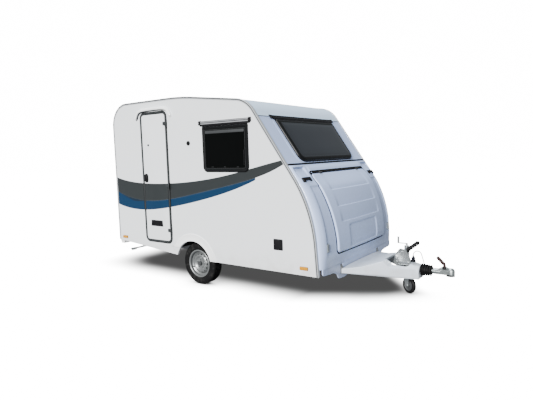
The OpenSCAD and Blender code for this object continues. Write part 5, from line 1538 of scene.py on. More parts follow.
@dataclass
class Door:
    """Entrance door furniture, frame trim and the gutter over it."""

    frame: Outline = plate(-0.947, -0.42, 0.513, 2.279, 0.075)
    proud: float = 0.008
    lock: Pair = (-0.871, 1.394)
    vent: Pair = (-0.7, 0.775)
    stud: Pair = (-0.796, 1.842)
    hinge: Pair = (-0.414, -HALF_W - 0.024)
    hinge_z: tuple[float, ...] = (0.66, 1.26, 2.08)

    def trim(self) -> Shape:
        """Frame trim: a half round outer bead, a flat land and an inner lip."""
        profile = [
            (0.0, 0.0), (0.0, 0.003), (0.004, 0.0045), (0.006, 0.008), (0.01, 0.01), (0.016, 0.01),
            (0.02, 0.008), (0.022, 0.0045), (0.026, 0.004), (0.027, 0.003), (0.027, -WALL - 0.02),
            (0.0, -WALL - 0.02), (0.0, -WALL), (0.0123, -WALL), (0.0123, 0.0),
        ]
        return banded(Shape(), WALLS[Side.RIGHT], self.frame, profile)

    def seal(self) -> Shape:
        """A black rubber seal in the gap round the leaf, and a black bead under the frame's outer edge that is
        painted shade: it stands for the shadow line there.
        """
        shape = banded(Shape(), WALLS[Side.RIGHT], self.frame, bead(0.0275, 0.002, 0.004))
        # Painted shade: this outer black bead stands for the shadow line under the frame's edge.
        return banded(shape, WALLS[Side.RIGHT], self.frame, bead(-0.0025, 0.0012, 0.0062))

    def leaf(self) -> Shape:
        """Leaf: face with a rolled edge, and a back with its middle recessed."""
        profile = [(0.068, -WALL + 0.008), (0.068, -WALL), (0.032, -WALL)]
        profile += [(0.032 + t, h) for t, h in rolled(self.proud, 0.003)[1:]]
        return domed(Shape(), WALLS[Side.RIGHT], self.frame, profile)

    def arms(self) -> Shape:
        """Hinge arms of the leaf: a turned knuckle, and a strap with a rounded end on a foot."""
        shape = Shape()
        x, y = self.hinge
        lift, face = Plane((0, y, 0), (1, 0, 0), (0, 0, 1), (0, -1, 0)), -HALF_W - self.proud
        for z in self.hinge_z:
            knuckle = mm((4.1, 0), (8.5, 0), (9, 1), (9, 69), (8.5, 70), (4.1, 70))
            shape.grid(turned(knuckle, (x, y, z), (0, 0, 1), 28), True, True)
            strap = plate(x - 0.051, x, z + 0.012, z + 0.058, 0.008)
            domed(shape, lift, strap, rolled(0.009, 0.002, 0.003))
            foot = Plane((0, y - 0.003, 0), (1, 0, 0), (0, 0, 1), (0, 1, 0))
            domed(
                shape, foot, plate(x - 0.0505, x - 0.0405, z + 0.014, z + 0.056, 0.004),
                [(0.0, 0.0), (0.0, face - y + 0.003)]
            )
        return shape

    def furniture(self) -> Shape:
        """Lock plate with its lever, vent with slats, and the retainer's stud."""
        plane, base, shape = WALLS[Side.RIGHT], self.proud, Shape()
        x, z = self.lock
        oval = Outline(
            (
                (x - 0.04, z - 0.062, 0.0398), (x - 0.04, z + 0.062, 0.0398), (x + 0.04, z + 0.062, 0.0398),
                (x + 0.04, z - 0.062, 0.0398)
            ),
            10
        )
        domed(shape, plane, oval, rolled(0.012, 0.008), base)
        domed(
            shape, plane, plate(x - 0.024, x + 0.024, z - 0.02, z + 0.03, 0.014), rolled(0.021, 0.006, 0.01),
            base
        )
        x, z = self.vent
        vent = Outline(
            (
                (x - 0.12, z - 0.042, 0.01), (x - 0.112, z + 0.042, 0.01), (x + 0.112, z + 0.042, 0.01),
                (x + 0.12, z - 0.042, 0.01)
            )
        )
        domed(shape, plane, vent, rolled(0.005, 0.003), base)
        for k in range(5):
            slat = z - 0.026 + 0.013 * k
            domed(
                shape, plane, plate(x - 0.096, x + 0.096, slat - 0.004, slat + 0.004, 0.0035),
                rolled(0.0085, 0.003, 0.003), base
            )
        x, z = self.stud
        rings = turned(
            mm((0, 0), (14, 0), (14, 4), (9, 6), (9, 9), (11, 11), (0, 12)), (x, -HALF_W - base, z),
            (0, -1, 0), 24
        )
        return shape.grid(rings, around=True)

    def gutter(self, lip: bool = True) -> Shape:
        """Gutter: a curved lip carried over the door, its ends tapered to nothing, or the dark strip under it,
        which is the gutter's painted shadow.
        """
        path = smooth_path(
            mm(
                (-1034, 2178), (-1022, 2225), (-992, 2275), (-945, 2308), (-860, 2322), (-700, 2326),
                (-520, 2325), (-420, 2312), (-370, 2283), (-338, 2235), (-322, 2182)
            ),
            90
        )
        spine = np.stack([path[:, 0], np.full(90, -HALF_W), path[:, 1]], -1)
        section = np.array(
            mm((-14, 0), (-13, 16), (-9, 26), (0, 31), (12, 32), (20, 29), (22, 25), (17, 21), (17, 0))
        )
        # Painted shadow: the flat dark strip under the lip stands for the gutter's shadow on the wall.
        if not lip:
            section = np.array(mm((16, 0), (16, 6), (19, 8), (30, 8), (33, 6), (33, 0)))
        along = unit(np.gradient(spine, axis=0))
        up = np.cross(along, np.array([0, 1.0, 0]))
        up = up * np.where(np.sum(up * [0, 0, 1.0], -1, keepdims=True) < -0.2, -1, 1)
        share = np.clip(np.minimum(np.linspace(0, 1, 90), np.linspace(1, 0, 90)) / 0.06, 0.12, 1)
        rings = spine[:, None] - section[None, :, :1] * up[:, None] * share[:, None, None]
        rings = rings + section[None, :, 1:2] * np.array([0, -1.0, 0]) * share[:, None, None]
        return Shape().tube(rings)

    def knuckles(self) -> Shape:
        """Hinge knuckles of the frame, above and below each one of the leaf."""
        shape = Shape()
        x, y = self.hinge
        for z in self.hinge_z:
            for low in (z - 0.014, z + 0.072):
                shape.grid(
                    turned(mm((0, 0), (8, 0), (9, 1), (9, 11), (8, 12), (0, 12)), (x, y, low), (0, 0, 1), 24),
                    True
                )
                arm = np.array([[x, y, low + 0.006], [x - 0.002, -HALF_W - 0.004, low + 0.006]])
                shape.tube(carried(arm, box_section(0.016, 0.012, 0.002), (0, 0, 1)))
            shape.grid(turned(mm((0, 0), (4, 0), (4, 94), (0, 94)), (x, y, z - 0.012), (0, 0, 1), 16), True)
        return shape

    def make(self) -> None:
        """Door pieces on their bodies."""
        build("door_trim", self.trim(), FRAME_GREY, ["door_frame"])
        build("door_panel", self.leaf(), SHEET, ["door_leaf"], body="door")
        build("door_hinge_arms", self.arms(), FRAME_GREY, body="door")
        build("door_hinge_knuckles", self.knuckles(), FRAME_GREY)
        # Door seal in the gap, and the painted shadow line under the frame's outer edge.
        build("door_seal", self.seal(), BLACK_RUBBER)
        build(
            "door_furniture", self.furniture(), BLACK_PLASTIC, ["door_fittings"], body="door"
        )
        build("door_drip_gutter", self.gutter(), WHITE_PLASTIC, ["door_gutter"])
        # Painted shadow under the gutter.
        build("gutter_seal", self.gutter(False), FRAME_GREY)


@dataclass
class RoadWheel:
    """One road wheel: tyre with its tread, steel wheel with vent holes, and hub."""

    side: Side
    radius: float = 0.277
    outer: float = 0.9475
    width: float = 0.165
    rim: float = 0.1825
    bead: float = 0.165
    holes: int = 14

    def grid(self, profile: Array, sides: int) -> Array:
        """Rings of a section [radius, y] about the axle, y measured on this side."""
        return turned(profile, (0, 0, AXLE_Z), (0, self.side.value, 0), sides)

    def tyre(self) -> Shape:
        """Tyre: a rounded section with four grooves, and slanted sipes in the tread.

        The section is given by radius against y; the sipes sink the ribs by 5 mm
        where the wave cos(n angle + 9 y / w) is near its top.

        Returns:
            The closed tyre.
        """
        out, w, r = self.outer, self.width, self.radius
        inn = out - w
        half = np.array([
            [0.166, out - 0.0125], [0.185, out - 0.0125], [0.187, out - 0.0105], [0.19, out - 0.0085],
            [0.193, out - 0.0045], [0.196, out - 0.0035],
            [0.2, out - 0.0022], [0.21, out - 0.0008], [0.22, out], [0.229, out - 0.0001], [0.23, out + 0.0],
            [0.24, out - 0.0018], [0.248, out - 0.004], [0.25, out - 0.0052], [0.256, out - 0.0062],
            [0.263, out - 0.0098],
            [0.269, out - 0.0152], [0.2735, out - 0.0215], [0.2755, out - 0.027],
        ])
        tread_y = out - 0.0275 - np.linspace(0, w - 0.055, 57)
        middle = (tread_y - (out - w / 2)) / (w / 2)
        grooves = np.array([-0.42, -0.14, 0.14, 0.42])
        nearest = np.abs(middle[:, None] - grooves[None]).min(1)
        depth = 0.007 * ease(nearest, 0.062, 0.04)
        crown = r - 0.0016 * (middle / 0.67) ** 2 - depth
        tread = np.stack([crown, tread_y], -1)
        other = half[::-1].copy()
        other[:, 1] = out + inn - other[:, 1]
        section = np.vstack([half, tread, other])
        sides = 288
        points = self.grid(section, sides)
        y = section[:, 1]
        rel = (y - (out - w / 2)) / (w / 2)
        angle = np.linspace(0, 2 * math.pi, sides, endpoint=False)
        wave = np.cos(72 * angle[None] + 9.0 * rel[:, None])
        outer_band = (section[:, 0] > 0.262)[:, None]
        sipe = 0.004 * ease(wave, 0.62, 0.86) * outer_band * ease(np.abs(rel), 1.02, 0.9)[:, None]
        centre = np.array([0, 0, AXLE_Z])
        away = points - centre
        away[..., 1] = 0
        points = points - unit(away) * sipe[..., None]
        return Shape().grid(points, around=True, closed=True)

    def wheel(self) -> Shape:
        """Steel wheel: the well with its two flanges, and the dished disc."""
        out, inn = self.outer, self.outer - self.width
        edge, bead, well, wall = self.rim, self.bead - 0.0003, 0.14, 0.005
        section = np.array([
            [edge, out - 0.0105], [edge - 0.001, out - 0.012], [bead + 0.004, out - 0.012],
            [bead, out - 0.016],
            [bead, out - 0.044], [well, out - 0.062], [well, inn + 0.062], [bead, inn + 0.044],
            [bead, inn + 0.012],
            [edge, inn + 0.012], [edge, inn + 0.007], [bead - wall, inn + 0.007], [bead - wall, inn + 0.046],
            [well - wall, inn + 0.064], [well - wall, out - 0.064], [bead - wall, out - 0.046],
            [bead - wall, out - 0.022], [bead - wall + 0.002, out - 0.013], [bead + 0.003, out - 0.0075],
            [bead + 0.009, out - 0.0068], [edge - 0.003, out - 0.0075],
        ])
        return Shape().grid(self.grid(section, 144), around=True, closed=True)

    def dish(self, r: Array) -> Array:
        """Place y of the disc's outer face at radius r: a raised ring inside the vents."""
        out = self.outer
        table = np.array([
            [0.028, 0.907], [0.06, 0.9072], [0.07, 0.908], [0.078, 0.912], [0.086, out - 0.029],
            [0.093, out - 0.0245],
            [0.101, out - 0.0235], [0.11, out - 0.0265], [0.12, out - 0.032], [0.13, out - 0.042],
            [0.1345, out - 0.056],
            [0.1365, out - 0.07],
        ])
        return np.interp(r, table[:, 0], table[:, 1])

    def disc(self) -> Shape:
        """Disc with its vent holes.

        Each of the sectors is a patch between an oval hole and the sector's border:
        point = (1 - s) oval + s border, in radius and angle. Inside and outside the
        band of vents the disc is turned.

        Returns:
            The closed disc.
        """
        inner, outer_r = 0.1085, 0.132
        mid, half_r = 0.1205, 0.0082
        step = 2 * math.pi / self.holes
        half_a = 0.012 / mid
        t = np.linspace(0, 2 * math.pi, 32, endpoint=False)
        c, s = np.cos(t), np.sin(t)
        squeeze = 1.0 / np.maximum(np.abs(c), np.abs(s))
        border_r = mid + np.clip(c * squeeze, -1, 1) * np.where(c > 0, outer_r - mid, mid - inner)
        border_a = np.clip(s * squeeze, -1, 1) * step / 2
        hole_r, hole_a = mid + half_r * c, half_a * s
        mix = np.linspace(0, 1, 6)[:, None]
        r = (1 - mix) * hole_r + mix * border_r
        a = (1 - mix) * hole_a + mix * border_a
        turn = np.arange(self.holes) * step
        angle = a[None] + turn[:, None, None]
        radius = np.broadcast_to(r[None], angle.shape)
        shape = Shape()

        def face(radius: Array, angle: Array, back: float) -> Array:
            """Points of the disc's face, moved back by its thickness."""
            return np.stack([
                radius * np.cos(angle), self.side.value * (self.dish(radius) - back),
                AXLE_Z + radius * np.sin(angle)
            ], -1)

        front, rear = face(radius, angle, 0.0), face(radius, angle, 0.004)
        lip = face(radius[:, :1], angle[:, :1], 0.004)
        for k in range(self.holes):
            shape.grid(front[k], around=True)
            shape.grid(rear[k], around=True)
            shape.grid(np.concatenate([front[k, :1], lip[k]]), around=True)
        ring_r = np.linspace(0.028, inner, 26)
        full = np.unique(np.round((border_a[None] + turn[:, None]).ravel(), 9))
        for radii in (ring_r, np.linspace(outer_r, 0.1365, 5)):
            rr, aa = np.meshgrid(radii, full, indexing="ij")
            shape.grid(face(rr, aa, 0.0), around=True)
            shape.grid(face(rr, aa, 0.004), around=True)
        for edge in (0.028, 0.1365):
            rr, aa = np.meshgrid([edge], full, indexing="ij")
            shape.grid(np.concatenate([face(rr, aa, 0.0), face(rr, aa, 0.004)]), around=True)
        return shape

    def bolts(self) -> Shape:
        """Five wheel bolts with domed heads, and the grease cap."""
        shape = Shape()
        sign = self.side.value
        for k in range(5):
            a = 2 * math.pi * k / 5 + 0.3
            place = (0.056 * math.cos(a), sign * 0.9068, AXLE_Z + 0.056 * math.sin(a))
            cone = mm((0, 0), (13.5, 0), (10.5, 4), (9.5, 5))
            shape.grid(turned(cone, place, (0, sign, 0), 24), True)
            shape.tube(turned(mm((9.8, 4), (9.8, 14.5), (8.8, 16.5), (6, 18)), place, (0, sign, 0), 6))
        cap = mm((0, 0), (27.5, 0), (27.5, 22), (26.5, 26), (23, 31), (14, 33.5), (0, 34))
        return shape.grid(turned(cap, (0, sign * 0.9015, AXLE_Z), (0, sign, 0), 40), True)

    def valve(self) -> Shape:
        """Tyre valve through the wheel, leaning outwards."""
        sign = self.side.value
        stem = mm((0, 0), (6, 0), (5.5, 12), (4.2, 16), (4.2, 30), (4.8, 31), (4.8, 38), (0, 39))
        a = math.radians(205)
        place = (0.148 * math.cos(a), sign * (self.outer - 0.052), AXLE_Z + 0.148 * math.sin(a))
        return Shape().grid(turned(stem, place, (-0.25 * math.cos(a), sign, -0.25 * math.sin(a)), 16), True)

    def make(self) -> None:
        """Tyre, wheel, disc, bolts and valve on this side's body."""
        label = self.side.name.lower()
        body = "wheel_" + label
        build(
            "tyre_tread_" + label, self.tyre(), TYRE_RUBBER, ["tyre_" + label], body=body,
            angle=40
        )
        build(
            "wheel_rim_" + label, self.wheel(), WHEEL_PAINT, ["rim_" + label], body=body,
            angle=40
        )
        build("wheel_disc_" + label, self.disc(), WHEEL_PAINT, body=body, angle=40)
        build("wheel_bolts_" + label, self.bolts(), ZINC, body=body)
        build("tyre_valve_" + label, self.valve(), BLACK_RUBBER, body=body)


@dataclass
class Arches:
    """Wheel arch mouldings on the side walls."""

    centre: Pair = (-0.038, 0.268)
    inner: float = 0.314
    outer: float = 0.412

    def arch(self, side: Side) -> Shape:
        """Moulding: a section of lip, flat band and outer bead carried over the arch."""
        section = np.array(
            mm(
                (0, -10), (0, 10), (2, 11.8), (7, 12), (11, 10.5), (14, 8.5), (45, 7.5), (78, 6.5), (86, 8),
                (91, 7.5), (96, 3.5), (98, 0)
            )
        )
        cx, cz = self.centre
        sill = np.array([0.479, 0.349])
        start = math.pi - math.asin((sill[0] - cz) / self.outer)
        end = math.asin((sill[1] - cz) / self.outer)
        a = np.linspace(start + 0.55, end - 0.24, 160)
        r = self.inner + section[:, 0]
        low = cz + np.clip(r[None] * np.sin(a)[:, None], -1, 9)
        x = cx + r[None] * np.cos(a)[:, None]
        floor = np.where(x < -0.07, sill[0], sill[1])
        z = np.maximum(low, floor)
        y = side.value * (HALF_W + section[:, 1])[None] * np.ones_like(x)
        return Shape().tube(np.stack([x, y, z], -1))

    def make(self) -> None:
        """Both mouldings."""
        shape = join(self.arch(Side.RIGHT), self.arch(Side.LEFT))
        build("arch_mouldings", shape, WHITE_PLASTIC, ["arch_trims"])


@dataclass
class DrawbarCover:
    """Moulded cover over the drawbar's rails, with its well for the jockey wheel.

    Each edge is a line z(x): crown for the middle of the deck, side for its border
    and foot for the lower edge. The border stands up to a crest behind the well.
    """

    rear: float = 1.872
    nose: float = 2.607
    nose_half: float = 0.0877
    splay: float = math.tan(math.radians(31.28))
    well: Table = ((2.24, 0.185), (2.5, 0.105))
    crown: Table = mm(
        (1872, 366), (1944, 373), (2060, 390), (2172, 414), (2262, 434), (2300, 408), (2335, 372),
        (2470, 356), (2505, 379), (2560, 376), (2596, 369), (2607, 362)
    )
    side: Table = mm(
        (1872, 352), (1944, 356), (2060, 370), (2172, 400), (2248, 424), (2266, 426), (2290, 405),
        (2326, 362), (2521, 338), (2596, 328), (2607, 322)
    )
    foot: Table = ((1.872, 0.298), (2.607, 0.214))
    rail_fall: Table = mm((1700, 0), (1850, 0), (1872, 54), (1944, 46), (2060, 26), (2150, 0), (2300, 0))

    def line(self, table: Table, x: Array) -> Array:
        """Height of one of the lines at x."""
        points = np.array(table)
        return np.interp(x, points[:, 0], points[:, 1])

    def skin(self) -> Shape:
        """Deck and sides as one sheet.

        Across, u runs from -1 to 1: to 0.9 it is the deck, z = side + (crown - side)
        (1 - v^3.5) with v = 1 at the border, and beyond it the border rolls over and
        drops to the foot. Columns follow the well's sides; its quads are left out and
        its rim is turned down.

        Returns:
            The open sheet, and the nose as a face with the shaft's place closed.
        """
        marks = np.array([p[0] for p in (*self.crown, *self.side, *self.well)])
        x = np.unique(np.round(np.concatenate([np.linspace(self.rear, self.nose, 64), marks]), 4))
        half = self.nose_half + (self.nose - x) * self.splay
        well = np.interp(x, [w[0] for w in self.well], [w[1] for w in self.well]) / half
        inner, outer = np.linspace(0, 1, 15), np.linspace(0, 1, 13)[1:]
        share = np.concatenate([well[:, None] * inner, well[:, None] + (0.975 - well[:, None]) * outer], 1)
        deck = share / 0.975
        side, crown = self.line(self.side, x)[:, None], self.line(self.crown, x)[:, None]
        z = side + (crown - side) * (1 - deck**3.5)
        y = share * half[:, None]
        drop = np.linspace(0, 1, 6)[1:]
        roll = 0.009
        a = drop * math.pi / 2
        y_roll = 0.975 * half[:, None] + (0.025 * half[:, None]) * np.sin(a)
        z_roll = side - roll * (1 - np.cos(a))
        foot = self.line(self.foot, x)[:, None]
        z_side = z_roll[:, -1:] + (foot - z_roll[:, -1:]) * drop
        y_side = np.broadcast_to(half[:, None], z_side.shape)
        right_y, right_z = np.hstack([y, y_roll, y_side]), np.hstack([z, z_roll, z_side])
        yy = np.hstack([-right_y[:, :0:-1], right_y])
        zz = np.hstack([right_z[:, :0:-1], right_z])
        points = np.dstack([np.broadcast_to(x[:, None], yy.shape), yy, zz])
        middle = right_y.shape[1] - 1
        column = np.abs(np.arange(yy.shape[1] - 1) + 0.5 - middle)
        x_mid = (x[:-1] + x[1:]) / 2
        inside = ((x_mid > self.well[0][0]) & (x_mid < self.well[1][0]))[:, None] & (column < 14)[None]
        keep = np.pad(~inside, ((0, 1), (0, 1)))
        shape = Shape().sheet(points, keep)
        i0, i1 = (int(np.argmin(np.abs(x - w[0]))) for w in self.well)
        j0, j1 = middle - 14, middle + 14
        loop = np.concatenate([
            points[i0, j0:j1], points[i0:i1, j1], points[i1, j1:j0:-1], points[i1:i0:-1, j0],
        ])
        rim = np.stack([loop, loop - [0, 0, 0.006], loop - [0, 0, 0.03]])
        rim[1:, :, 1] *= 0.985
        shape.grid(rim, around=True)
        return shape.fan(points[-1])

    def make(self, frame: dict) -> None:
        """Cover with its thickness, and the rails with their fronts lowered under it.
        """
        piece = build(
            "drawbar_fairing", self.skin(), COVER_SKIN, ["drawbar_cover"], angle=40
        )
        wall = piece.modifiers.new("thickness", "SOLIDIFY")
        wall.thickness, wall.offset = 0.004, -1.0
        for name in ("rail_right", "rail_left"):
            rail = Softened(name, CHASSIS, "chassis_metal").make(frame)
            self.lower(rail.data)

    def lower(self, mesh: bpy.types.Mesh) -> None:
        """Cut a rail across at each mark and lower its upper edge there.

        Args:
            mesh: the rail's own mesh, in the row's frame.
        """
        tidy = bmesh.new()
        tidy.from_mesh(mesh)
        for x, _ in self.rail_fall:
            parts = tidy.verts[:] + tidy.edges[:] + tidy.faces[:]
            bmesh.ops.bisect_plane(
                tidy, geom=parts, plane_co=row(np.array([x, 0, 0])).tolist(), plane_no=(1, 0, 0)
            )
        tidy.to_mesh(mesh)
        tidy.free()
        flat = np.empty(len(mesh.vertices) * 3)
        mesh.vertices.foreach_get("co", flat)
        points = flat.reshape(-1, 3)
        x = points[:, 0] - row(np.zeros(3))[0]
        top = 0.414 - 0.0994 * (x - 1.7)
        upper = ease(points[:, 2], top - 0.06, top - 0.03)
        points[:, 2] -= self.line(self.rail_fall, x) * upper
        mesh.vertices.foreach_set("co", points.ravel())
        mesh.update()


@dataclass
class Beds:
    """Three seat cushions over the front bed, each with its piping."""

    start: float = 0.057
    end: float = 1.352
    low: float = 0.84
    height: float = 0.12
    gap: float = 0.005
    places: tuple[str, ...] = ("right", "middle", "left")
    pull: float = 0.009
    crown: float = 0.013
    fill: float = 0.8

    def padded(self, shape: Shape, y: float, half_width: float) -> Shape:
        """Pull a cushion's sides in between its corners and crown its top.

        With u and v a point's place from the middle over the half sizes, a side moves in by
        pull times the fourth power of its own place times 1 minus the square of the other.
        The point rises by crown times (1 - u squared)(1 - v squared) times its share of the
        cushion's height, squared.

        Args:
            shape: the cushion or its piping.
            y: the cushion's middle across the caravan.
            half_width: half of its width.

        Returns:
            The same shape, its points moved.
        """
        middle, half = (self.start + self.end) / 2, (self.end - self.start) / 2
        points = np.vstack(shape.points)
        u = np.clip((points[:, 0] - middle) / half, -1, 1)
        v = np.clip((points[:, 1] - y) / half_width, -1, 1)
        share = np.clip((points[:, 2] - self.low) / self.height, 0, 1)
        points[:, 0] -= np.sign(u) * self.pull * u**4 * (1 - v**2)
        points[:, 1] -= np.sign(v) * self.pull * v**4 * (1 - u**2)
        points[:, 2] += self.crown * (1 - u**2) * (1 - v**2) * share**2
        shape.points = [points]
        return shape

    def make(self) -> None:
        """Cushions with rolled edges and crowned tops, and the piping along their rims."""
        plane = Plane((0, 0, self.low), (1, 0, 0), (0, 1, 0), (0, 0, 1))
        width = (2 * INNER_W - 4 * self.gap) / len(self.places)
        top = self.height
        profile = [
            (0.012, 0.0), (0.004, 0.004), (0.0, 0.012), (-0.002, top / 2), (0.0, top - 0.022),
            (0.006, top - 0.009), (0.018, top - 0.003),
            (0.05, top), (0.1, top + 0.002), (0.16, top + 0.003), (0.24, top + 0.003),
        ]
        for k, place in enumerate(self.places):
            y = -INNER_W + self.gap + k * (width + self.gap)
            outline = plate(self.start, self.end, y, y + width, 0.04)
            cushion = domed(Shape(), plane, outline, profile)
            piping = banded(Shape(), plane, outline, bead(0.003, top - 0.014, 0.0045))
            banded(piping, plane, outline, bead(0.003, 0.008, 0.0045))
            middle = y + width / 2
            piece = build(
                f"bed_cushion_{place}", self.padded(cushion, middle, width / 2), CLOTH,
                ["bed_cushions"], angle=60
            )
            build(
                f"bed_cushion_piping_{place}", self.padded(piping, middle, width / 2), PIPING,
                angle=60
            )


@dataclass
class Hitch:
    """Bellows, coupling, handbrake grip and the release handle."""

    height: float = 0.316
    start: float = 2.607
    end: float = 2.735
    folds: int = 5

    def bellows(self) -> Shape:
        """Bellows: radius = mean + half depth times a rounded wave along the shaft."""
        s = np.linspace(0, 1, 121)
        wave = np.cos(2 * math.pi * (s * self.folds - 0.5))
        wave = np.sign(wave) * np.abs(wave) ** 0.7
        mean = 0.064 - 0.01 * s
        r = mean + 0.0082 * wave
        r = np.where((s < 0.03) | (s > 0.97), np.minimum(r, 0.052), r)
        x = self.start + (self.end - self.start) * s
        inner = np.array([[0.0253, self.end - self.start], [0.0253, 0.0]])
        section = np.vstack([np.stack([r, x - self.start], -1), inner])
        return Shape().grid(turned(section, (self.start, 0, self.height), (1, 0, 0), 72), True, True)

    def grip(self) -> Shape:
        """Handbrake grip: turned with finger ribs and a knob at its end."""
        a, b = np.array([2.444, 0, 0.52]), np.array([2.574, 0, 0.624])
        length = float(np.linalg.norm(b - a))
        s = np.linspace(0, 1, 61)
        r = 0.0255 - 0.0026 * (
            0.5 + 0.5 * np.cos(2 * math.pi * s * 7)
        ) * ease(s, 0.08, 0.15) * ease(s, 0.95, 0.88)
        r = r * np.sqrt(np.clip(1 - ((np.abs(s - 0.5) - 0.46) / 0.04).clip(0) ** 2 * 0.75, 0, 1))
        section = np.vstack([[0, 0], np.stack([r, s * length], -1), [0, length]])
        knob = [
            (0, length), (0.016, length), (0.016, length + 0.008), (0.012, length + 0.012),
            (0, length + 0.013)
        ]
        axis = b - a
        return Shape().grid(turned(section, a, axis, 40), True).grid(turned(knob, a, axis, 32), True)

    def handle(self) -> Shape:
        """Release handle: a flat bar that turns up and back from its boss."""
        path = smooth_path(
            mm(
                (2868, 0, 358), (2868, 0, 385), (2862, 0, 404), (2848, 0, 418), (2820, 0, 446), (2786, 0, 480)
            ),
            40
        )
        s = np.linspace(0, 1, 40)
        grow = 0.92 + 0.14 * ease(s, 0.3, 0.55)
        grow = grow * np.where(s > 0.97, 0.75, 1.0)
        return Shape().tube(carried(path, box_section(0.034, 0.025, 0.007), (0, 1, 0), grow))

    def brackets(self) -> Shape:
        """Handbrake bracket: a pressed plate with a rolled edge, a rib and its bolts, on the near side."""
        near = Plane((0, -0.038, 0), (1, 0, 0), (0, 0, 1), (0, -1, 0))
        sheet = Outline(
            mm(
                (2292, 352, 10), (2318, 470, 20), (2372, 546, 22), (2448, 532, 24), (2496, 440, 16),
                (2508, 352, 10)
            )
        )
        shape = domed(Shape(), near, sheet, mm((0, 0), (0, 9), (2, 11), (7, 11), (10, 6), (60, 5)))
        for x, z in mm((2335, 385), (2400, 500), (2470, 385)):
            shape.grid(turned(mm((0, 4), (15, 4), (15, 6), (10, 7)), (x, -0.038, z), (0, -1, 0), 24), True)
            shape.tube(turned(mm((10.5, 5), (10.5, 13), (9, 14.5)), (x, -0.038, z), (0, -1, 0), 6))
        return shape

    def tip(self) -> Shape:
        """Black lip round the cup's mouth and the boss under the release handle."""
        lip = turned(
            mm((34, -12), (43, -12), (44.5, -9), (44.5, 6), (43, 9), (34, 9)), (2.931, 0, 0.288), (0, 0, 1),
            48
        )
        boss = turned(mm((0, 0), (23, 0), (23, 14), (20, 20), (0, 21)), (2.868, 0, 0.352), (0, 0, 1), 32)
        return Shape().grid(lip, True, True).grid(boss, True)

    def make(self) -> None:
        """The pieces that differ from their CAD nodes."""
        build("handbrake_bracket", self.brackets(), ZINC)
        build("coupling_lip", self.tip(), BLACK_RUBBER)
        build("shaft_bellows", self.bellows(), BLACK_RUBBER, ["bellows"], angle=60)
        build("handbrake_grip", self.grip(), BLACK_RUBBER, angle=50)
        build("release_handle", self.handle(), GRIP_RED, ["coupling_handle"])


@dataclass
class JockeyWheel:
    """Jockey wheel: a solid tyre on a dished centre."""

    centre: Point = (2.415 + 0.045 * math.cos(math.radians(30)), 0.07 - 0.0225, 0.1)
    width: float = 0.05
    turn: float = -30.0

    def axis(self) -> Point:
        """Direction of the wheel's pin."""
        a = math.radians(self.turn)
        return (-math.sin(a), math.cos(a), 0.0)

    def tyre(self) -> Shape:
        """Solid tyre with a rounded tread and a rib in the middle."""
        w = self.width / 2
        section = [
            (0.068, -w + 0.004), (0.078, -w), (0.088, -w + 0.001), (0.095, -w + 0.006), (0.099, -w + 0.014),
            (0.1, -0.006),
            (0.0985, -0.004), (0.0985, 0.004), (0.1, 0.006), (0.099, w - 0.014), (0.095, w - 0.006),
            (0.088, w - 0.001),
            (0.078, w), (0.068, w - 0.004),
        ]
        return Shape().grid(turned(section, self.centre, self.axis(), 72), True, True)

    def centre_disc(self) -> Shape:
        """Pressed centre with a rolled edge and its hub."""
        w = self.width / 2
        section = [
            (0.0681, -w + 0.005), (0.0681, w - 0.005), (0.064, w - 0.006), (0.06, w - 0.014),
            (0.048, w - 0.018),
            (0.034, w - 0.013), (0.024, w - 0.012), (0.0215, w + 0.002), (0.02, w + 0.003),
            (0.0081, w + 0.003),
            (0.0081, -w - 0.003), (0.02, -w - 0.003), (0.0215, -w - 0.002), (0.024, -w + 0.012),
            (0.034, -w + 0.013),
            (0.048, -w + 0.018), (0.06, -w + 0.014), (0.064, -w + 0.006),
        ]
        return Shape().grid(turned(section, self.centre, self.axis(), 72), True, True)

    def make(self) -> None:
        """Tyre and centre."""
        build(
            "jockey_tyre", self.tyre(), BLACK_RUBBER, ["jockey_wheel"], body="jockey_wheel",
            angle=50
        )
        build("jockey_centre", self.centre_disc(), HUB_IRON, body="jockey_wheel")


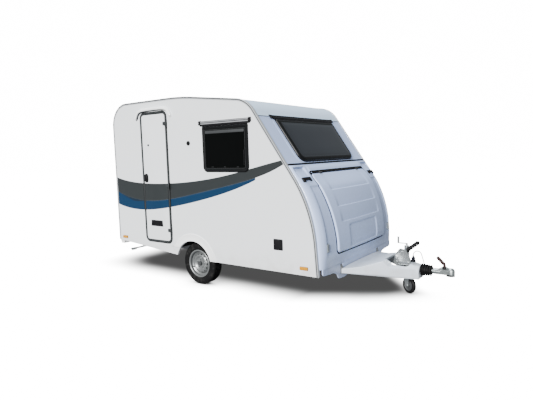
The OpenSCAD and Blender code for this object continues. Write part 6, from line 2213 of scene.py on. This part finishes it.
@dataclass
class Fittings:
    """Marker lamps, rear lamps, wall catch, service flap and roof light."""

    def markers(self) -> tuple[Shape, Shape]:
        """Side markers: amber lenses on black bases."""
        lens, base = Shape(), Shape()
        for side in Side:
            for x, z in ((-1.421, 0.528), (1.655, 0.428)):
                outline = plate(x - 0.0525, x + 0.0525, z - 0.02, z + 0.02, 0.008)
                domed(base, WALLS[side], outline, rolled(0.005, 0.002))
                domed(
                    lens, WALLS[side], plate(x - 0.05, x + 0.05, z - 0.0175, z + 0.0175, 0.006),
                    rolled(0.018, 0.006, 0.004)
                )
        return lens, base

    def rear_lights(self) -> Shape:
        """Rear lamps with rolled edges in the valance."""
        shape = Shape()
        plane = Plane((-1.56 - 0.014, 0, 0), (0, 1, 0), (0, 0, 1), (-1, 0, 0))
        outline = plate(0.6703, 0.9097, 0.4703, 0.5617, 0.0197)
        domed(shape, plane, outline, rolled(0.028, 0.006))
        return shape.mirrored()

    def flap(self) -> Shape:
        """Service flap: a frame and a lid with a finger recess."""
        plane = WALLS[Side.RIGHT]
        x, z, w = 1.32, 0.661, 0.064
        shape = domed(Shape(), plane, plate(x - w, x + w, z - w, z + w, 0.012), rolled(0.006, 0.003))
        domed(
            shape, plane, plate(x - w + 0.009, x + w - 0.009, z - w + 0.009, z + w - 0.009, 0.007),
            rolled(0.0125, 0.004, 0.004)
        )
        return domed(
            shape, plane, plate(x - 0.018, x + 0.018, z - w + 0.014, z - w + 0.024, 0.004),
            rolled(0.014, 0.001, 0.01)
        )

    def catch(self) -> Shape:
        """Wall catch that holds the open door: a stepped round socket."""
        rings = mm(
            (0, 0), (29, 0), (30, 2), (30, 6), (28, 8), (17, 9), (16, 11), (16, 24), (14, 26), (10, 26),
            (9, 20), (0, 19)
        )
        return Shape().grid(turned(rings, (-0.032, -HALF_W, 1.842), (0, -1, 0), 40), True)

    def roof_dome(self) -> tuple[Shape, Shape]:
        """Roof light: a white frame and a smoked dome over it."""
        frame = domed(Shape(), ROOF, plate(-0.865, -0.375, -0.245, 0.245, 0.04), rolled(0.018, 0.01))
        profile = mm((0, 16), (0, 24), (4, 32), (12, 38), (30, 42), (70, 45), (120, 46))
        dome = domed(Shape(), ROOF, plate(-0.82, -0.42, -0.2, 0.2, 0.06), profile)
        return frame, dome

    def make(self) -> None:
        """All of the small fittings."""
        lens, base = self.markers()
        build("marker_lenses", lens, AMBER, ["marker_lamps"])
        build("marker_bases", base, BLACK_PLASTIC)
        build("rear_light_lenses", self.rear_lights(), RED, ["rear_lamps"])
        build(
            "service_flap", join(self.flap(), self.catch()), BLACK_PLASTIC, ["wall_fittings"]
        )
        frame, dome = self.roof_dome()
        build("roof_light_frame", frame, WHITE_PLASTIC, ["roof_light"])
        build("roof_light_dome", dome, WHITE_PLASTIC)


@dataclass
class Frame:
    """The CAD nodes that stay: which finish each one has."""

    nodes: dict[str, Finish] = field(default_factory=lambda: {
        "side_wall_right": SHEET, "side_wall_left": SHEET, "bed_base": VENEER, "rear_wall": PLAIN_SHEET,
        "roof_panel": ROOF_SKIN, "front_upper": FRONT_SKIN, "front_skirt": FRONT_SKIN,
        "locker_tub": LINER, "wheel_boxes": WELL_BLACK, "floor_panel": PLYWOOD,
        "cross_members": CHASSIS, "axle": AXLE_PAINT, "hub_right": HUB_IRON, "hub_left": HUB_IRON,
        "steady_front_right": ZINC, "steady_front_left": ZINC, "steady_rear_right": ZINC,
        "steady_rear_left": ZINC,
        "jockey_leg": ZINC, "plug_holder": BLACK_PLASTIC, "coupling_bumper": BLACK_RUBBER,
    })
    soft: tuple[Softened, ...] = (
        Softened("overrun_housing", AXLE_PAINT, "axle_metal"),
        Softened("coupling_head", CAST_ZINC, "zinc_steel", 0.0035),
        Softened("handbrake", BLACK_PLASTIC, "black_plastic", 0.0015),
        Softened("jockey_tube", ZINC, "zinc_steel", 0.0015),
        Softened("jockey_fork", ZINC, "zinc_steel", 0.0012, "jockey_fork"),
        Softened("rear_valance", WHITE_PLASTIC, "front_skin", 0.008),
    )

    def make(self, frame: dict) -> None:
        """Dress the nodes that stay and soften the edges of others.
        """
        for name, finish in self.nodes.items():
            node = frame["nodes"][name]
            node.data.materials.clear()
            node.data.materials.append(finish.material())
        for part in self.soft:
            part.make(frame)


def main() -> None:
    """Build the whole scene."""
    logging.basicConfig(level=logging.INFO, format="%(name)s: %(message)s")
    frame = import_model()
    studio = Studio()
    studio.camera()
    Lead().make()
    studio.light()
    Frame().make(frame)
    FrontEnd().make()
    Windows().make()
    Door().make()
    for side in Side:
        RoadWheel(side).make()
    Arches().make()
    Beds().make()
    DrawbarCover().make(frame)
    Hitch().make()
    JockeyWheel().make()
    Fittings().make()


if __name__ == "__main__":
    main()
